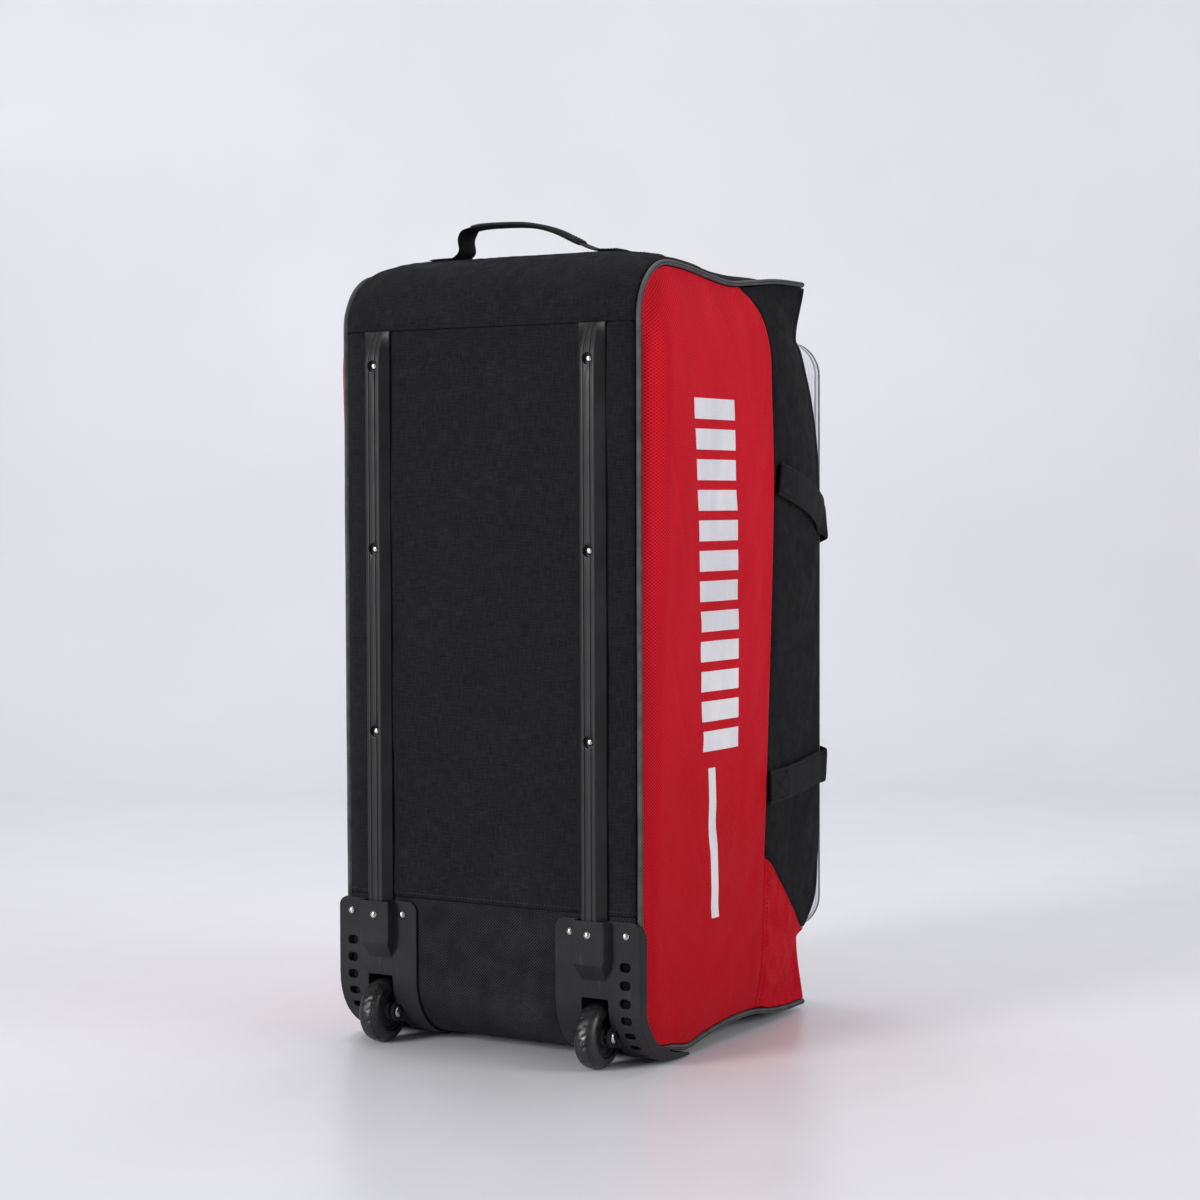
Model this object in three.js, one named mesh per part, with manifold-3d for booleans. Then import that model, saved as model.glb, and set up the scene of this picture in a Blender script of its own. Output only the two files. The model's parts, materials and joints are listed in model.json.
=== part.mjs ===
// A wheeled kit bag for cricket gear, standing on its wheel end.
// Millimetres. X runs across the bag, Y from the back board to the lid, Z up.
// While the pieces are made, y = 0 is the outer face of the wheel guards and
// z = 0 the ground. The finished group is then centred over its own footprint.

import * as THREE from 'three';
import { mergeVertices } from 'three/addons/utils/BufferGeometryUtils.js';
import Module from 'manifold-3d';

const wasm = await Module();
wasm.setup();

// Driving dimensions of the cloth body
const seamSpan = 374; // across the bag, between the two side pipings
const frontSeam = 400; // depth of the front seam behind the guards' face
const topSeam = 849; // height of the piping over the upper back corner
const frontSeamFoot = 9; // height of the lower front piping
const cloth = 2.5; // wall of padded cloth
const gap = 0.3; // clearance between neighbouring pieces
const pipingRadius = 3;
const seamRoom = 1; // between the piping and the edges of the side cloth
const backRoll = 8.7; // how far the back cloth rolls in towards the seam
const topCornerRadius = 61; // of the piping, upper back corner
const topSag = 12; // dip of the side seam along the top end
const bottomLift = 11; // rise of the side seam along the bottom end
const topCrown = 18; // rise of the top end's cloth above the front seam
const sideBulge = 24; // how far the full side cloth stands out
const backRise = 26; // distance in which the side cloth swells from the back seam
const topFall = 90; // the same from the top seam
const footFall = 70; // the same from the bottom seam
const frontFall = 110; // the same from the front edge
const seamTurn = 8; // radius of the piping round the front corners

// Driving dimensions of the seams across and down the cloth
const backSeamDrop = 4; // back board's upper seam below the start of the top corner
const meshSeamHeight = 163; // back board to the mesh cloth below
const meshSeamDepth = 107; // mesh cloth to the bottom end
const floorStart = 140; // the flat underside, front to back
const floorEnd = 375;
const splitFoot = 272; // depth of the side split at the bottom
const splitShift = 2; // of the split's own line towards the front
const patchHeight = 192; // height of the corner patch at the split

// Driving dimensions of the lid
const lidSpan = 356;
const lidFoot = 85;
const lidHead = 785;
const lidCorner = 40;
const lidStand = 58; // rim above the front seam
const lidDome = 14;
const lidWallDepth = 14; // how far the wall reaches in behind the front seam
const tape = 2; // wall of the zip tape and the lid
const lidPipe = 4;

// Driving dimensions of the wheel guards, rails and wheels
const guardPlate = 3;
const guardFoot = 3; // underside of the guard above the ground
const guardCorner = 70; // outer radius round the lower back corner
const guardInner = 89.5; // |x| of the guard's inner edge
const guardOuter = 193.5; // |x| of its outer face
const guardHead = 159;
const guardRound = 11; // radius of the guard's top corners
const guardTipRise = 1.2; // height of the tip of the guard's foot
const flangeDepth = 16;
const railPlace = 137; // |x| of the rails and sleeves
const railBase = 32;
const railFace = 17.5;
const railStand = 13;
const railFoot = 118;
const railHead = 784;
const railRamp = 29; // length of the slope at the rail's top
const railLip = 2.5; // thickness of the rail's edges
const railGroove = 1; // depth of the two grooves
const railGroovePlace = 4; // of a groove, from the rail's middle
const rivetFirst = 346;
const rivetPitch = 200;
const rivetCount = 3;
const rivetHead = 4.5; // radius
const rivetRise = 3;
const sinkRadius = 6.25; // counterbores in the rails
const sinkDepth = 5;
const sleeveFoot = 94;
const sleeveRamp = 18;
const guardRivetHeight = 144;
const guardRivets = [176, 137, 108]; // |x|, from the outer one in
const slotPlace = 175;
const slotWidth = 12.5;
const slotHeight = 9.5;
const slotPitch = 19.2;
const slotCount = 7;
const slotFirst = 111;
const wheelRadius = 35;
const wheelWidth = 26;
const wheelDepth = 6; // of the axle behind the guards' face
const wheelPlace = 138; // |x|
const wheelSideRoom = 3;
const wheelRim = 22; // outer radius of the hub
const wellRoom = 5.5; // between tyre and wheel well
const wellWall = 2.5;
const cheek = 3.5;
const bossRadius = 11;
const axleRadius = 4;
const axleHead = 6.5;
const axleCap = 2.5; // thickness of the axle's heads

// Driving dimensions of the handles
const handleWidth = 34;
const gripWidth = 22;
const gripThick = 6;
const webbing = 2.5; // thickness
const handleDepth = 95;
const handleSpan = 240;
const handleRise = 36;
const strapWidth = 38;
const strapRoom = 2; // slack of the carry handles over the side cloth

// Flat sides round the larger and the smaller cut cylinders
const wellSides = 24;
const smallSides = 12;

// Sizes that follow
const halfSeam = seamSpan / 2;
const clothBack = guardPlate + gap;
const seamBack = clothBack + backRoll;
const cornerY = guardCorner;
const cornerZ = guardCorner + guardFoot;
const clothCorner = guardCorner - guardPlate - gap;
const seamCorner = clothCorner - backRoll;
const topCornerY = seamBack + topCornerRadius;
const topCornerZ = topSeam - topCornerRadius;
const backSeamHeight = topCornerZ - backSeamDrop;
const clothEdge = halfSeam - pipingRadius - gap;
const sideInset = pipingRadius + seamRoom;
const cut = gap / 2 + 0.05; // half of a cloth seam's opening
const halfLid = lidSpan / 2;
const lidHeight = lidHead - lidFoot;
const lidRim = frontSeam + lidStand;
const lidTuck = halfSeam - halfLid - 2 * gap - cloth; // side cloth drawn in beside the lid
const wheelWell = wheelRadius + wellRoom;
const wellHalf = wheelWidth / 2 + wheelSideRoom;
const railY = clothBack - gap; // plane of the rails' base
const quarter = Math.PI / 2;

// Shares of named sizes, one row for each section of the bag
// Side seam over the top end: depth from the corner to the front seam, sag
const topSeamLine = [
  { depth: 0, sag: 0 }, { depth: 0.126, sag: 0.17 }, { depth: 0.304, sag: 0.75 },
  { depth: 0.43, sag: 1 }, { depth: 0.58, sag: 0.67 }, { depth: 0.776, sag: 0.17 },
  { depth: 1, sag: 0.08 },
];
// Side seam under the bottom end: depth from the corner to the front seam, lift
const footSeamLine = [
  { depth: 0, lift: 0.55 }, { depth: 0.13, lift: 0 }, { depth: 0.216, lift: 0.36 },
  { depth: 0.312, lift: 0.73 }, { depth: 0.453, lift: 1 }, { depth: 0.6, lift: 0.91 },
  { depth: 0.75, lift: 0.27 }, { depth: 0.907, lift: 0 }, { depth: 1, lift: 0 },
];
// Crown of the top end along its middle
const crownLine = [
  { depth: 0, rise: 0.94 }, { depth: 0.15, rise: 1 }, { depth: 0.39, rise: 0.8 },
  { depth: 0.75, rise: 0.2 }, { depth: 1, rise: 0 },
];
// Fullness of the sides over the bag's height
const bulgeLine = [
  { height: 0, full: 0.3 }, { height: 0.17, full: 0.33 }, { height: 0.41, full: 0.5 },
  { height: 0.65, full: 0.83 }, { height: 0.82, full: 1 }, { height: 1, full: 1 },
];
// Split between the red and the black side cloth: height above the patch, depth
const splitLine = [
  { height: 0, depth: 0.7 }, { height: 0.1, depth: 0.705 }, { height: 0.28, depth: 0.71 },
  { height: 0.455, depth: 0.705 }, { height: 0.63, depth: 0.697 }, { height: 0.806, depth: 0.676 },
  { height: 0.91, depth: 0.667 }, { height: 0.958, depth: 0.652 }, { height: 0.984, depth: 0.62 },
  { height: 1, depth: 0.59 },
];
// Front edge of the side cloth beside the lid: height up the lid, reach forward
const reachLine = [
  { height: 0, reach: -0.17 }, { height: 0.013, reach: 0.17 }, { height: 0.059, reach: 0.69 },
  { height: 0.124, reach: 0.83 }, { height: 0.19, reach: 0.91 }, { height: 0.31, reach: 0.91 },
  { height: 0.733, reach: 0.91 }, { height: 0.817, reach: 0.83 }, { height: 0.9, reach: 0.55 },
  { height: 0.95, reach: 0.26 }, { height: 0.981, reach: 0.05 }, { height: 1, reach: -0.17 },
];
// Rows of the front side cloth: share up the split, share up the front edge
const frontRows = [
  { split: 0, front: 0 }, { split: 0.051, front: 0.043 }, { split: 0.1, front: 0.104 },
  { split: 0.28, front: 0.277 }, { split: 0.455, front: 0.475 }, { split: 0.63, front: 0.672 },
  { split: 0.719, front: 0.75 }, { split: 0.806, front: 0.828 }, { split: 0.859, front: 0.874 },
  { split: 0.91, front: 0.903 }, { split: 0.958, front: 0.921 }, { split: 0.984, front: 0.961 },
  { split: 1, front: 1 },
];
// Columns across a wrapped panel as shares of the half width
const wrapColumns = [0, 0.25, 0.5, 0.72, 0.86, 0.94, 1];
const sideColumns = [0, 0.04, 0.085, 0.14, 0.23, 0.38, 0.58, 0.8, 1];

// Small helpers for tables and lines
function readLine(table, input, output, at) {
  const last = table.length - 1;
  let row = 0;
  while (row < last - 1 && at > table[row + 1][input]) row += 1;
  const a = table[row];
  const b = table[row + 1];
  const span = b[input] - a[input];
  const share = Math.min(Math.max((at - a[input]) / span, 0), 1);
  const slopeAt = (k) => {
    if (k === 0 || k === last) return 0;
    const before = table[k - 1];
    const after = table[k + 1];
    const here = table[k];
    const rise = (here[output] - before[output]) * (after[output] - here[output]);
    return rise <= 0 ? 0 : (after[output] - before[output]) / (after[input] - before[input]);
  };
  const s2 = share * share;
  const s3 = s2 * share;
  return (2 * s3 - 3 * s2 + 1) * a[output] + (s3 - 2 * s2 + share) * span * slopeAt(row)
    + (3 * s2 - 2 * s3) * b[output] + (s3 - s2) * span * slopeAt(row + 1);
}

function lerp(a, b, share) {
  return a + (b - a) * share;
}

function ease(share) {
  const s = Math.min(Math.max(share, 0), 1);
  return s * s * (3 - 2 * s);
}

function swell(distance, width) {
  const s = Math.min(Math.max(distance / width, 0), 1);
  return 1 - (1 - s) ** 2;
}

// Third side of a right triangle
function legOf(longSide, side) {
  return Math.sqrt(Math.max(longSide ** 2 - side ** 2, 0));
}

function steps(count) {
  return Array.from({ length: count + 1 }, (_, k) => k / count);
}

// Point at a share of the length of a broken line in one plane
function along(points, share) {
  const lengths = points.slice(1).map((p, k) => p.distanceTo(points[k]));
  let left = share * lengths.reduce((sum, part) => sum + part, 0);
  for (let k = 0; k < lengths.length; k += 1) {
    if (left <= lengths[k] || k === lengths.length - 1) {
      return points[k].clone().lerp(points[k + 1], left / lengths[k]);
    }
    left -= lengths[k];
  }
  return points[points.length - 1].clone();
}

function arcPoints(y, z, radius, from, to, count) {
  return steps(count).map((s) => {
    const angle = lerp(from, to, s);
    return new THREE.Vector2(y + radius * Math.cos(angle), z + radius * Math.sin(angle));
  });
}

// Closed bodies from loose triangles, with shared corners and outward faces
function closedBody(triangles) {
  const seen = new Map();
  const places = [];
  const faces = [];
  const indexOf = (p) => {
    const key = p.toArray().map((v) => Math.round(v * 10000)).join(' ');
    if (!seen.has(key)) {
      seen.set(key, places.length / 3);
      places.push(p.x, p.y, p.z);
    }
    return seen.get(key);
  };
  let volume = 0;
  triangles.forEach(([a, b, c]) => {
    const corners = [indexOf(a), indexOf(b), indexOf(c)];
    if (new Set(corners).size < 3) return;
    volume += a.dot(b.clone().cross(c));
    faces.push(corners);
  });
  const geometry = new THREE.BufferGeometry();
  geometry.setAttribute('position', new THREE.Float32BufferAttribute(places, 3));
  geometry.setIndex(faces.flatMap(([a, b, c]) => (volume < 0 ? [a, c, b] : [a, b, c])));
  return geometry;
}

// A wall over a grid of points; inward gives the step to its inner face
function sheetBody(rows, inward, closed = false) {
  const inner = rows.map((row, i) => row.map((p, j) => p.clone().add(inward(p, i, j))));
  const triangles = [];
  const quad = (a, b, c, d) => triangles.push([a, b, c], [a, c, d]);
  const height = rows.length - 1;
  const width = rows[0].length - 1;
  for (let i = 0; i < height; i += 1) {
    for (let j = 0; j < width; j += 1) {
      quad(rows[i][j], rows[i][j + 1], rows[i + 1][j + 1], rows[i + 1][j]);
      quad(inner[i][j], inner[i + 1][j], inner[i + 1][j + 1], inner[i][j + 1]);
    }
  }
  for (let j = 0; j < width; j += 1) {
    quad(rows[0][j + 1], rows[0][j], inner[0][j], inner[0][j + 1]);
    quad(rows[height][j], rows[height][j + 1], inner[height][j + 1], inner[height][j]);
  }
  for (let i = 0; i < height && !closed; i += 1) {
    quad(rows[i][0], rows[i + 1][0], inner[i + 1][0], inner[i][0]);
    quad(rows[i + 1][width], rows[i][width], inner[i][width], inner[i + 1][width]);
  }
  return closedBody(triangles);
}

// Solids for joining and cutting
function toSolid(geometry) {
  const bare = geometry.clone();
  bare.deleteAttribute('normal');
  bare.deleteAttribute('uv');
  const merged = mergeVertices(bare, 1e-4);
  return new wasm.Manifold(new wasm.Mesh({
    numProp: 3,
    vertProperties: new Float32Array(merged.attributes.position.array),
    triVerts: new Uint32Array(merged.index.array),
  }));
}

function fromSolid(solid) {
  const mesh = solid.getMesh();
  const geometry = new THREE.BufferGeometry();
  geometry.setAttribute('position', new THREE.Float32BufferAttribute(mesh.vertProperties, 3));
  geometry.setIndex(Array.from(mesh.triVerts));
  return geometry;
}

function cutAway(geometry, tools) {
  return fromSolid(tools.reduce((solid, tool) => solid.subtract(toSolid(tool)), toSolid(geometry)));
}

// A flat outline given as [y, z] pairs, drawn out along X
function prismAlongX(outline, from, to) {
  const shape = new THREE.Shape(outline.map(([y, z]) => new THREE.Vector2(y, z)));
  const geometry = new THREE.ExtrudeGeometry(shape, { depth: to - from, bevelEnabled: false });
  const turn = new THREE.Matrix4().makeBasis(
    new THREE.Vector3(0, 1, 0), new THREE.Vector3(0, 0, 1), new THREE.Vector3(1, 0, 0));
  return geometry.applyMatrix4(turn).translate(from, 0, 0);
}

// An outline given as [x, z] pairs, with holes, drawn out along Y
function prismAlongY(outline, from, to, holes = []) {
  const shape = new THREE.Shape(outline.map(([x, z]) => new THREE.Vector2(x, z)));
  shape.holes = holes.map((hole) => new THREE.Path(hole.map(([x, z]) => new THREE.Vector2(x, z))));
  const geometry = new THREE.ExtrudeGeometry(shape, { depth: to - from, bevelEnabled: false });
  const turn = new THREE.Matrix4().makeBasis(
    new THREE.Vector3(1, 0, 0), new THREE.Vector3(0, 0, 1), new THREE.Vector3(0, -1, 0));
  return geometry.applyMatrix4(turn).translate(0, to, 0);
}

// A path whose steps fall on given stations, for a tube that follows them
class StationPath extends THREE.Curve {
  constructor(stations) {
    super();
    this.stations = stations;
  }

  getPoint(share, target = new THREE.Vector3()) {
    const place = share * (this.stations.length - 1);
    const before = Math.min(Math.floor(place), this.stations.length - 2);
    return target.copy(this.stations[before]).lerp(this.stations[before + 1], place - before);
  }

  getPointAt(share, target) {
    return this.getPoint(share, target);
  }

  getTangentAt(share, target = new THREE.Vector3()) {
    const last = this.stations.length - 1;
    const here = Math.round(share * last);
    const behind = this.stations[Math.max(here - 1, 0)];
    const ahead = this.stations[Math.min(here + 1, last)];
    const middle = this.stations[here];
    const into = middle.clone().sub(behind).normalize();
    const out = ahead.clone().sub(middle).normalize();
    return target.copy(into.add(out)).normalize();
  }
}

function tubeAlong(stations, radius, sides) {
  const ring = new THREE.Shape(steps(sides).slice(0, -1).map((s) => (
    new THREE.Vector2(radius * Math.cos(4 * quarter * s), radius * Math.sin(4 * quarter * s)))));
  const path = new StationPath(stations);
  return new THREE.ExtrudeGeometry(ring, {
    steps: stations.length - 1, extrudePath: path, bevelEnabled: false,
  });
}

// Lines of the body, each a function of depth or height
function topSeamZ(y) {
  const share = (y - topCornerY) / (frontSeam - topCornerY);
  return topSeam - topSag * readLine(topSeamLine, 'depth', 'sag', share);
}

function footSeamZ(y) {
  const share = (y - cornerY) / (frontSeam - cornerY);
  return frontSeamFoot + bottomLift * readLine(footSeamLine, 'depth', 'lift', share);
}

function topMiddleZ(y) {
  const share = (y - topCornerY) / (frontSeam - topCornerY);
  const front = topSeam - topSag * topSeamLine[topSeamLine.length - 1].sag;
  return front + topCrown * readLine(crownLine, 'depth', 'rise', share);
}

function footMiddleZ(y) {
  const heel = cornerZ - clothCorner;
  const tipSeat = guardTipRise + guardPlate + gap;
  if (y <= meshSeamDepth) return lerp(heel, tipSeat, (y - cornerY) / (meshSeamDepth - cornerY));
  if (y <= floorStart) return tipSeat * (1 - ease((y - meshSeamDepth) / (floorStart - meshSeamDepth)));
  if (y <= floorEnd) return 0;
  const end = frontSeam - pipingRadius - gap;
  return footSeamZ(y) * ease((y - floorEnd) / (end - floorEnd));
}

function backSeamY(z) {
  if (z > topCornerZ) return topCornerY - legOf(topCornerRadius, z - topCornerZ);
  if (z < cornerZ) return cornerY - legOf(seamCorner, cornerZ - z);
  return seamBack;
}

function seamTopZ(y) {
  if (y >= topCornerY) return topSeamZ(y);
  return topCornerZ + legOf(topCornerRadius, topCornerY - y);
}

function seamFootZ(y) {
  if (y >= cornerY) return footSeamZ(y);
  return cornerZ - legOf(seamCorner, cornerY - y);
}

// Outer face of the side cloth, as |x| over depth and height
function frontEdgeY(z) {
  const seamReach = -(pipingRadius - webbing + 2 * gap) / lidStand;
  const pinch = reachLine[0].reach;
  if (z < lidFoot) return frontSeam + lidStand * lerp(seamReach, pinch, ease(z / lidFoot) ** 0.5);
  if (z > lidHead) {
    const under = ease((topSeam - z) / (topSeam - lidHead));
    return frontSeam + lidStand * lerp(seamReach, pinch, under);
  }
  return frontSeam + lidStand * readLine(reachLine, 'height', 'reach', (z - lidFoot) / lidHeight);
}

function sideFrame(y, z) {
  const tuckStart = frontSeam - frontFall;
  const tuckEnd = frontSeam - lidWallDepth;
  const beside = Math.min(ease(z / lidFoot), ease((topSeam - z) / (topSeam - lidHead)));
  return halfSeam - lidTuck * ease((y - tuckStart) / (tuckEnd - tuckStart)) * beside;
}

function sideX(y, z) {
  const full = sideBulge * readLine(bulgeLine, 'height', 'full', z / topSeam);
  const rise = swell(y - backSeamY(z) - sideInset, backRise)
    * swell(seamTopZ(y) - sideInset - z, topFall)
    * swell(z - seamFootZ(y) - sideInset, footFall)
    * swell(frontEdgeY(z) - y, frontFall);
  return sideFrame(y, z) + full * rise;
}

function splitY(z) {
  const low = splitFoot / frontSeam;
  if (z <= patchHeight) {
    const share = z / patchHeight;
    return frontSeam * lerp(low, splitLine[0].depth, share) + splitShift * share;
  }
  const head = seamTopZ(splitLine[splitLine.length - 1].depth * frontSeam) - sideInset;
  const share = (z - patchHeight) / (head - patchHeight);
  return frontSeam * readLine(splitLine, 'height', 'depth', share) + splitShift;
}

// Outer face of the lid
function lidFace(x, z) {
  const across = Math.min(Math.abs(x) / (halfLid - lidPipe), 1);
  const up = Math.min(Math.abs(z - (lidFoot + lidHead) / 2) / (lidHeight / 2 - lidPipe), 1);
  return lidRim + lidDome * (1 - across ** 4) * (1 - up ** 4);
}

const finishes = {
  blackCloth: new THREE.MeshStandardMaterial({ color: 0x222124, roughness: 0.9, metalness: 0 }),
  blackMesh: new THREE.MeshStandardMaterial({ color: 0x1b1b1d, roughness: 0.85, metalness: 0 }),
  redMesh: new THREE.MeshStandardMaterial({ color: 0xb4121f, roughness: 0.7, metalness: 0 }),
  redWeave: new THREE.MeshStandardMaterial({ color: 0xb81320, roughness: 0.75, metalness: 0 }),
  paleTape: new THREE.MeshStandardMaterial({ color: 0xe6e6ea, roughness: 0.6, metalness: 0 }),
  greyPiping: new THREE.MeshStandardMaterial({ color: 0x55565a, roughness: 0.7, metalness: 0 }),
  darkPiping: new THREE.MeshStandardMaterial({ color: 0x2c2c30, roughness: 0.7, metalness: 0 }),
  guardPlastic: new THREE.MeshStandardMaterial({ color: 0x303134, roughness: 0.6, metalness: 0 }),
  railPlastic: new THREE.MeshStandardMaterial({ color: 0x1c1c1e, roughness: 0.45, metalness: 0 }),
  rubber: new THREE.MeshStandardMaterial({ color: 0x141415, roughness: 0.8, metalness: 0 }),
  hubPlastic: new THREE.MeshStandardMaterial({ color: 0x1f1f21, roughness: 0.5, metalness: 0 }),
  chrome: new THREE.MeshStandardMaterial({ color: 0xc9cace, roughness: 0.15, metalness: 1 }),
  webbing: new THREE.MeshStandardMaterial({ color: 0x1a1a1c, roughness: 0.85, metalness: 0 }),
};

const bag = new THREE.Group();

function addPiece(name, geometry, finish, parent = bag) {
  const bare = geometry.clone();
  bare.deleteAttribute('uv');
  bare.computeVertexNormals();
  const piece = new THREE.Mesh(bare, finishes[finish]);
  piece.name = name;
  parent.add(piece);
  return piece;
}

// Panels that wrap the bag from side seam to side seam.
// A station has its seam point, the way out of the bag, the crown and how flat it is.
function crownShape(share, flat) {
  const past = Math.max(share - flat, 0) / (1 - flat);
  return Math.sqrt(Math.max(1 - past ** 2.4, 0));
}

const backFlat = 0.86;
const endFlat = 0.5;

function backStation(z) {
  return { y: seamBack, z, outY: -1, outZ: 0, crown: backRoll, flat: backFlat, half: clothEdge };
}

function topCornerStation(share) {
  const angle = 2 * quarter - share * quarter;
  const outY = Math.cos(angle);
  const outZ = Math.sin(angle);
  const crown = lerp(backRoll, topMiddleZ(topCornerY) - topSeam, ease(share));
  return {
    y: topCornerY + topCornerRadius * outY, z: topCornerZ + topCornerRadius * outZ,
    outY, outZ, crown, flat: lerp(backFlat, endFlat, share), half: clothEdge,
  };
}

function footCornerStation(share) {
  const angle = 2 * quarter + share * quarter;
  const outY = Math.cos(angle);
  const outZ = Math.sin(angle);
  return {
    y: cornerY + seamCorner * outY, z: cornerZ + seamCorner * outZ,
    outY, outZ, crown: backRoll, flat: backFlat, half: clothEdge,
  };
}

function endHalf(y) {
  const turnY = frontSeam - seamTurn;
  if (y <= turnY) return clothEdge;
  return halfSeam - seamTurn + legOf(seamTurn - pipingRadius - gap, y - turnY);
}

function topStation(y) {
  const z = topSeamZ(y);
  return { y, z, outY: 0, outZ: 1, crown: topMiddleZ(y) - z, flat: endFlat, half: endHalf(y) };
}

function footStation(y) {
  const z = footSeamZ(y);
  const flat = lerp(backFlat, endFlat, ease((y - meshSeamDepth) / (floorStart - meshSeamDepth)));
  return { y, z, outY: 0, outZ: -1, crown: z - footMiddleZ(y), flat, half: endHalf(y) };
}

function wrapPanel(stations) {
  const across = [...wrapColumns.slice(1).reverse().map((s) => -s), ...wrapColumns];
  const rows = stations.map((at) => across.map((share) => {
    const rise = at.crown * crownShape(Math.abs(share), at.flat);
    return new THREE.Vector3(share * at.half, at.y + at.outY * rise, at.z + at.outZ * rise);
  }));
  return sheetBody(rows, (p, i) => (
    new THREE.Vector3(0, -stations[i].outY * cloth, -stations[i].outZ * cloth)));
}

const frontCloth = frontSeam - pipingRadius - gap;
const depthRows = (from, to, shares) => shares.map((s) => lerp(from, to, s));

function addWrapPanels() {
  const backRows = depthRows(meshSeamHeight + cut, backSeamHeight - cut, steps(3));
  addPiece('back_panel', wrapPanel(backRows.map(backStation)), 'blackCloth');

  const overSeam = backStation(backSeamHeight + cut);
  const turns = steps(6).map((s) => topCornerStation(s * (1 - cut / topCornerRadius / quarter)));
  addPiece('top_wrap_panel', wrapPanel([overSeam, ...turns]), 'blackCloth');

  const topRows = depthRows(topCornerY + cut, frontCloth, [0, 0.14, 0.3, 0.46, 0.62, 0.79, 0.985, 1]);
  addPiece('top_end_panel', wrapPanel(topRows.map(topStation)), 'blackCloth');

  const toFloor = depthRows(meshSeamDepth + cut, floorStart, steps(2));
  const floor = depthRows(floorStart, floorEnd, [0.16, 0.35, 0.6, 0.82, 1]);
  const toFront = depthRows(floorEnd, frontCloth, [0.75, 1]);
  addPiece('bottom_end_panel', wrapPanel([...toFloor, ...floor, ...toFront].map(footStation)), 'blackCloth');

  const lower = depthRows(meshSeamHeight - cut, cornerZ, [0, 0.5]).map(backStation);
  const corner = steps(6).map(footCornerStation);
  const heel = depthRows(cornerY, meshSeamDepth - cut, [0.5, 1]).map(footStation);
  const mesh = wrapPanel([...lower, ...corner, ...heel]);
  const wells = [-1, 1].map((side) => {
    const reach = wellHalf + cheek + gap;
    const middle = side * wheelPlace;
    const round = circle(wheelDepth, wheelRadius, wheelWell + wellWall + gap, wellSides);
    return prismAlongX(round, middle - reach, middle + reach);
  });
  addPiece('lower_back_panel', cutAway(mesh, wells), 'blackMesh');
}

function circle(y, z, radius, sides) {
  return steps(sides).slice(0, -1).map((s) => {
    const angle = 4 * quarter * s;
    return [y + radius * Math.cos(angle), z + radius * Math.sin(angle)];
  });
}

// Panels of the sides, each a patch between four lines in the plane of depth and height
function patchPanel(back, front, foot, head, columns, rowShares) {
  const rows = rowShares.map((row) => columns.map((u) => {
    const v = row.level;
    const corner = (a, b) => a.clone().lerp(b, u);
    const ends = corner(foot(0), foot(1)).lerp(corner(head(0), head(1)), v);
    const sides = back(row).lerp(front(row), u);
    const caps = foot(u).lerp(head(u), v);
    const place = sides.add(caps).sub(ends);
    return new THREE.Vector3(sideX(place.x, place.y), place.x, place.y);
  }));
  return sheetBody(rows, () => new THREE.Vector3(-cloth, 0, 0));
}

const point = (y, z) => new THREE.Vector2(y, z);

function redPanel() {
  const inner = seamCorner - sideInset;
  const innerTop = topCornerRadius - sideInset;
  const footCorner = arcPoints(cornerY, cornerZ, inner, 2.5 * quarter, 2 * quarter, 8);
  const headCorner = arcPoints(topCornerY, topCornerZ, innerTop, 2 * quarter, 1.5 * quarter, 8);
  const backLine = [...footCorner, ...headCorner];
  const splitHeadY = splitLine[splitLine.length - 1].depth * frontSeam + splitShift - cut;
  const alongSeam = (from, to, height) => (
    depthRows(from, to, steps(12).slice(1)).map((y) => point(y, height(y))));
  const footLine = [
    ...arcPoints(cornerY, cornerZ, inner, 2.5 * quarter, 3 * quarter, 6),
    ...alongSeam(cornerY, splitFoot - cut, (y) => footSeamZ(y) + sideInset),
  ];
  const headLine = [
    ...arcPoints(topCornerY, topCornerZ, innerTop, 1.5 * quarter, quarter, 6),
    ...alongSeam(topCornerY, splitHeadY, (y) => topSeamZ(y) - sideInset),
  ];
  const low = footSeamZ(splitFoot) + sideInset;
  const high = seamTopZ(splitHeadY) - sideInset;
  const heights = [
    ...[0, 0.1, 0.25, 0.5, 0.75].map((s) => lerp(low, patchHeight, s)),
    ...frontRows.map((row) => lerp(patchHeight, high, row.split)),
  ];
  const rows = heights.map((z) => ({ level: (z - low) / (high - low), z }));
  const front = (row) => point(splitY(row.z) - cut, row.z);
  return patchPanel((row) => along(backLine, row.level), front,
    (u) => along(footLine, u), (u) => along(headLine, u), sideColumns, rows);
}

// The slanting seam over the corner patch, from the split to the front edge
const slantEnd = 0.013; // of the lid's height
const slantColumns = 6;
const slantLine = [
  { share: 0, drop: 0 }, { share: 0.34, drop: 0.31 }, { share: 0.7, drop: 0.71 }, { share: 1, drop: 1 },
];

function slantPoint(share, lift) {
  const endZ = lidFoot + lidHeight * slantEnd;
  const startY = splitY(patchHeight);
  const y = lerp(startY, frontEdgeY(endZ), share);
  const z = lerp(patchHeight, endZ, readLine(slantLine, 'share', 'drop', share));
  return point(y, z + lift);
}

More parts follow.
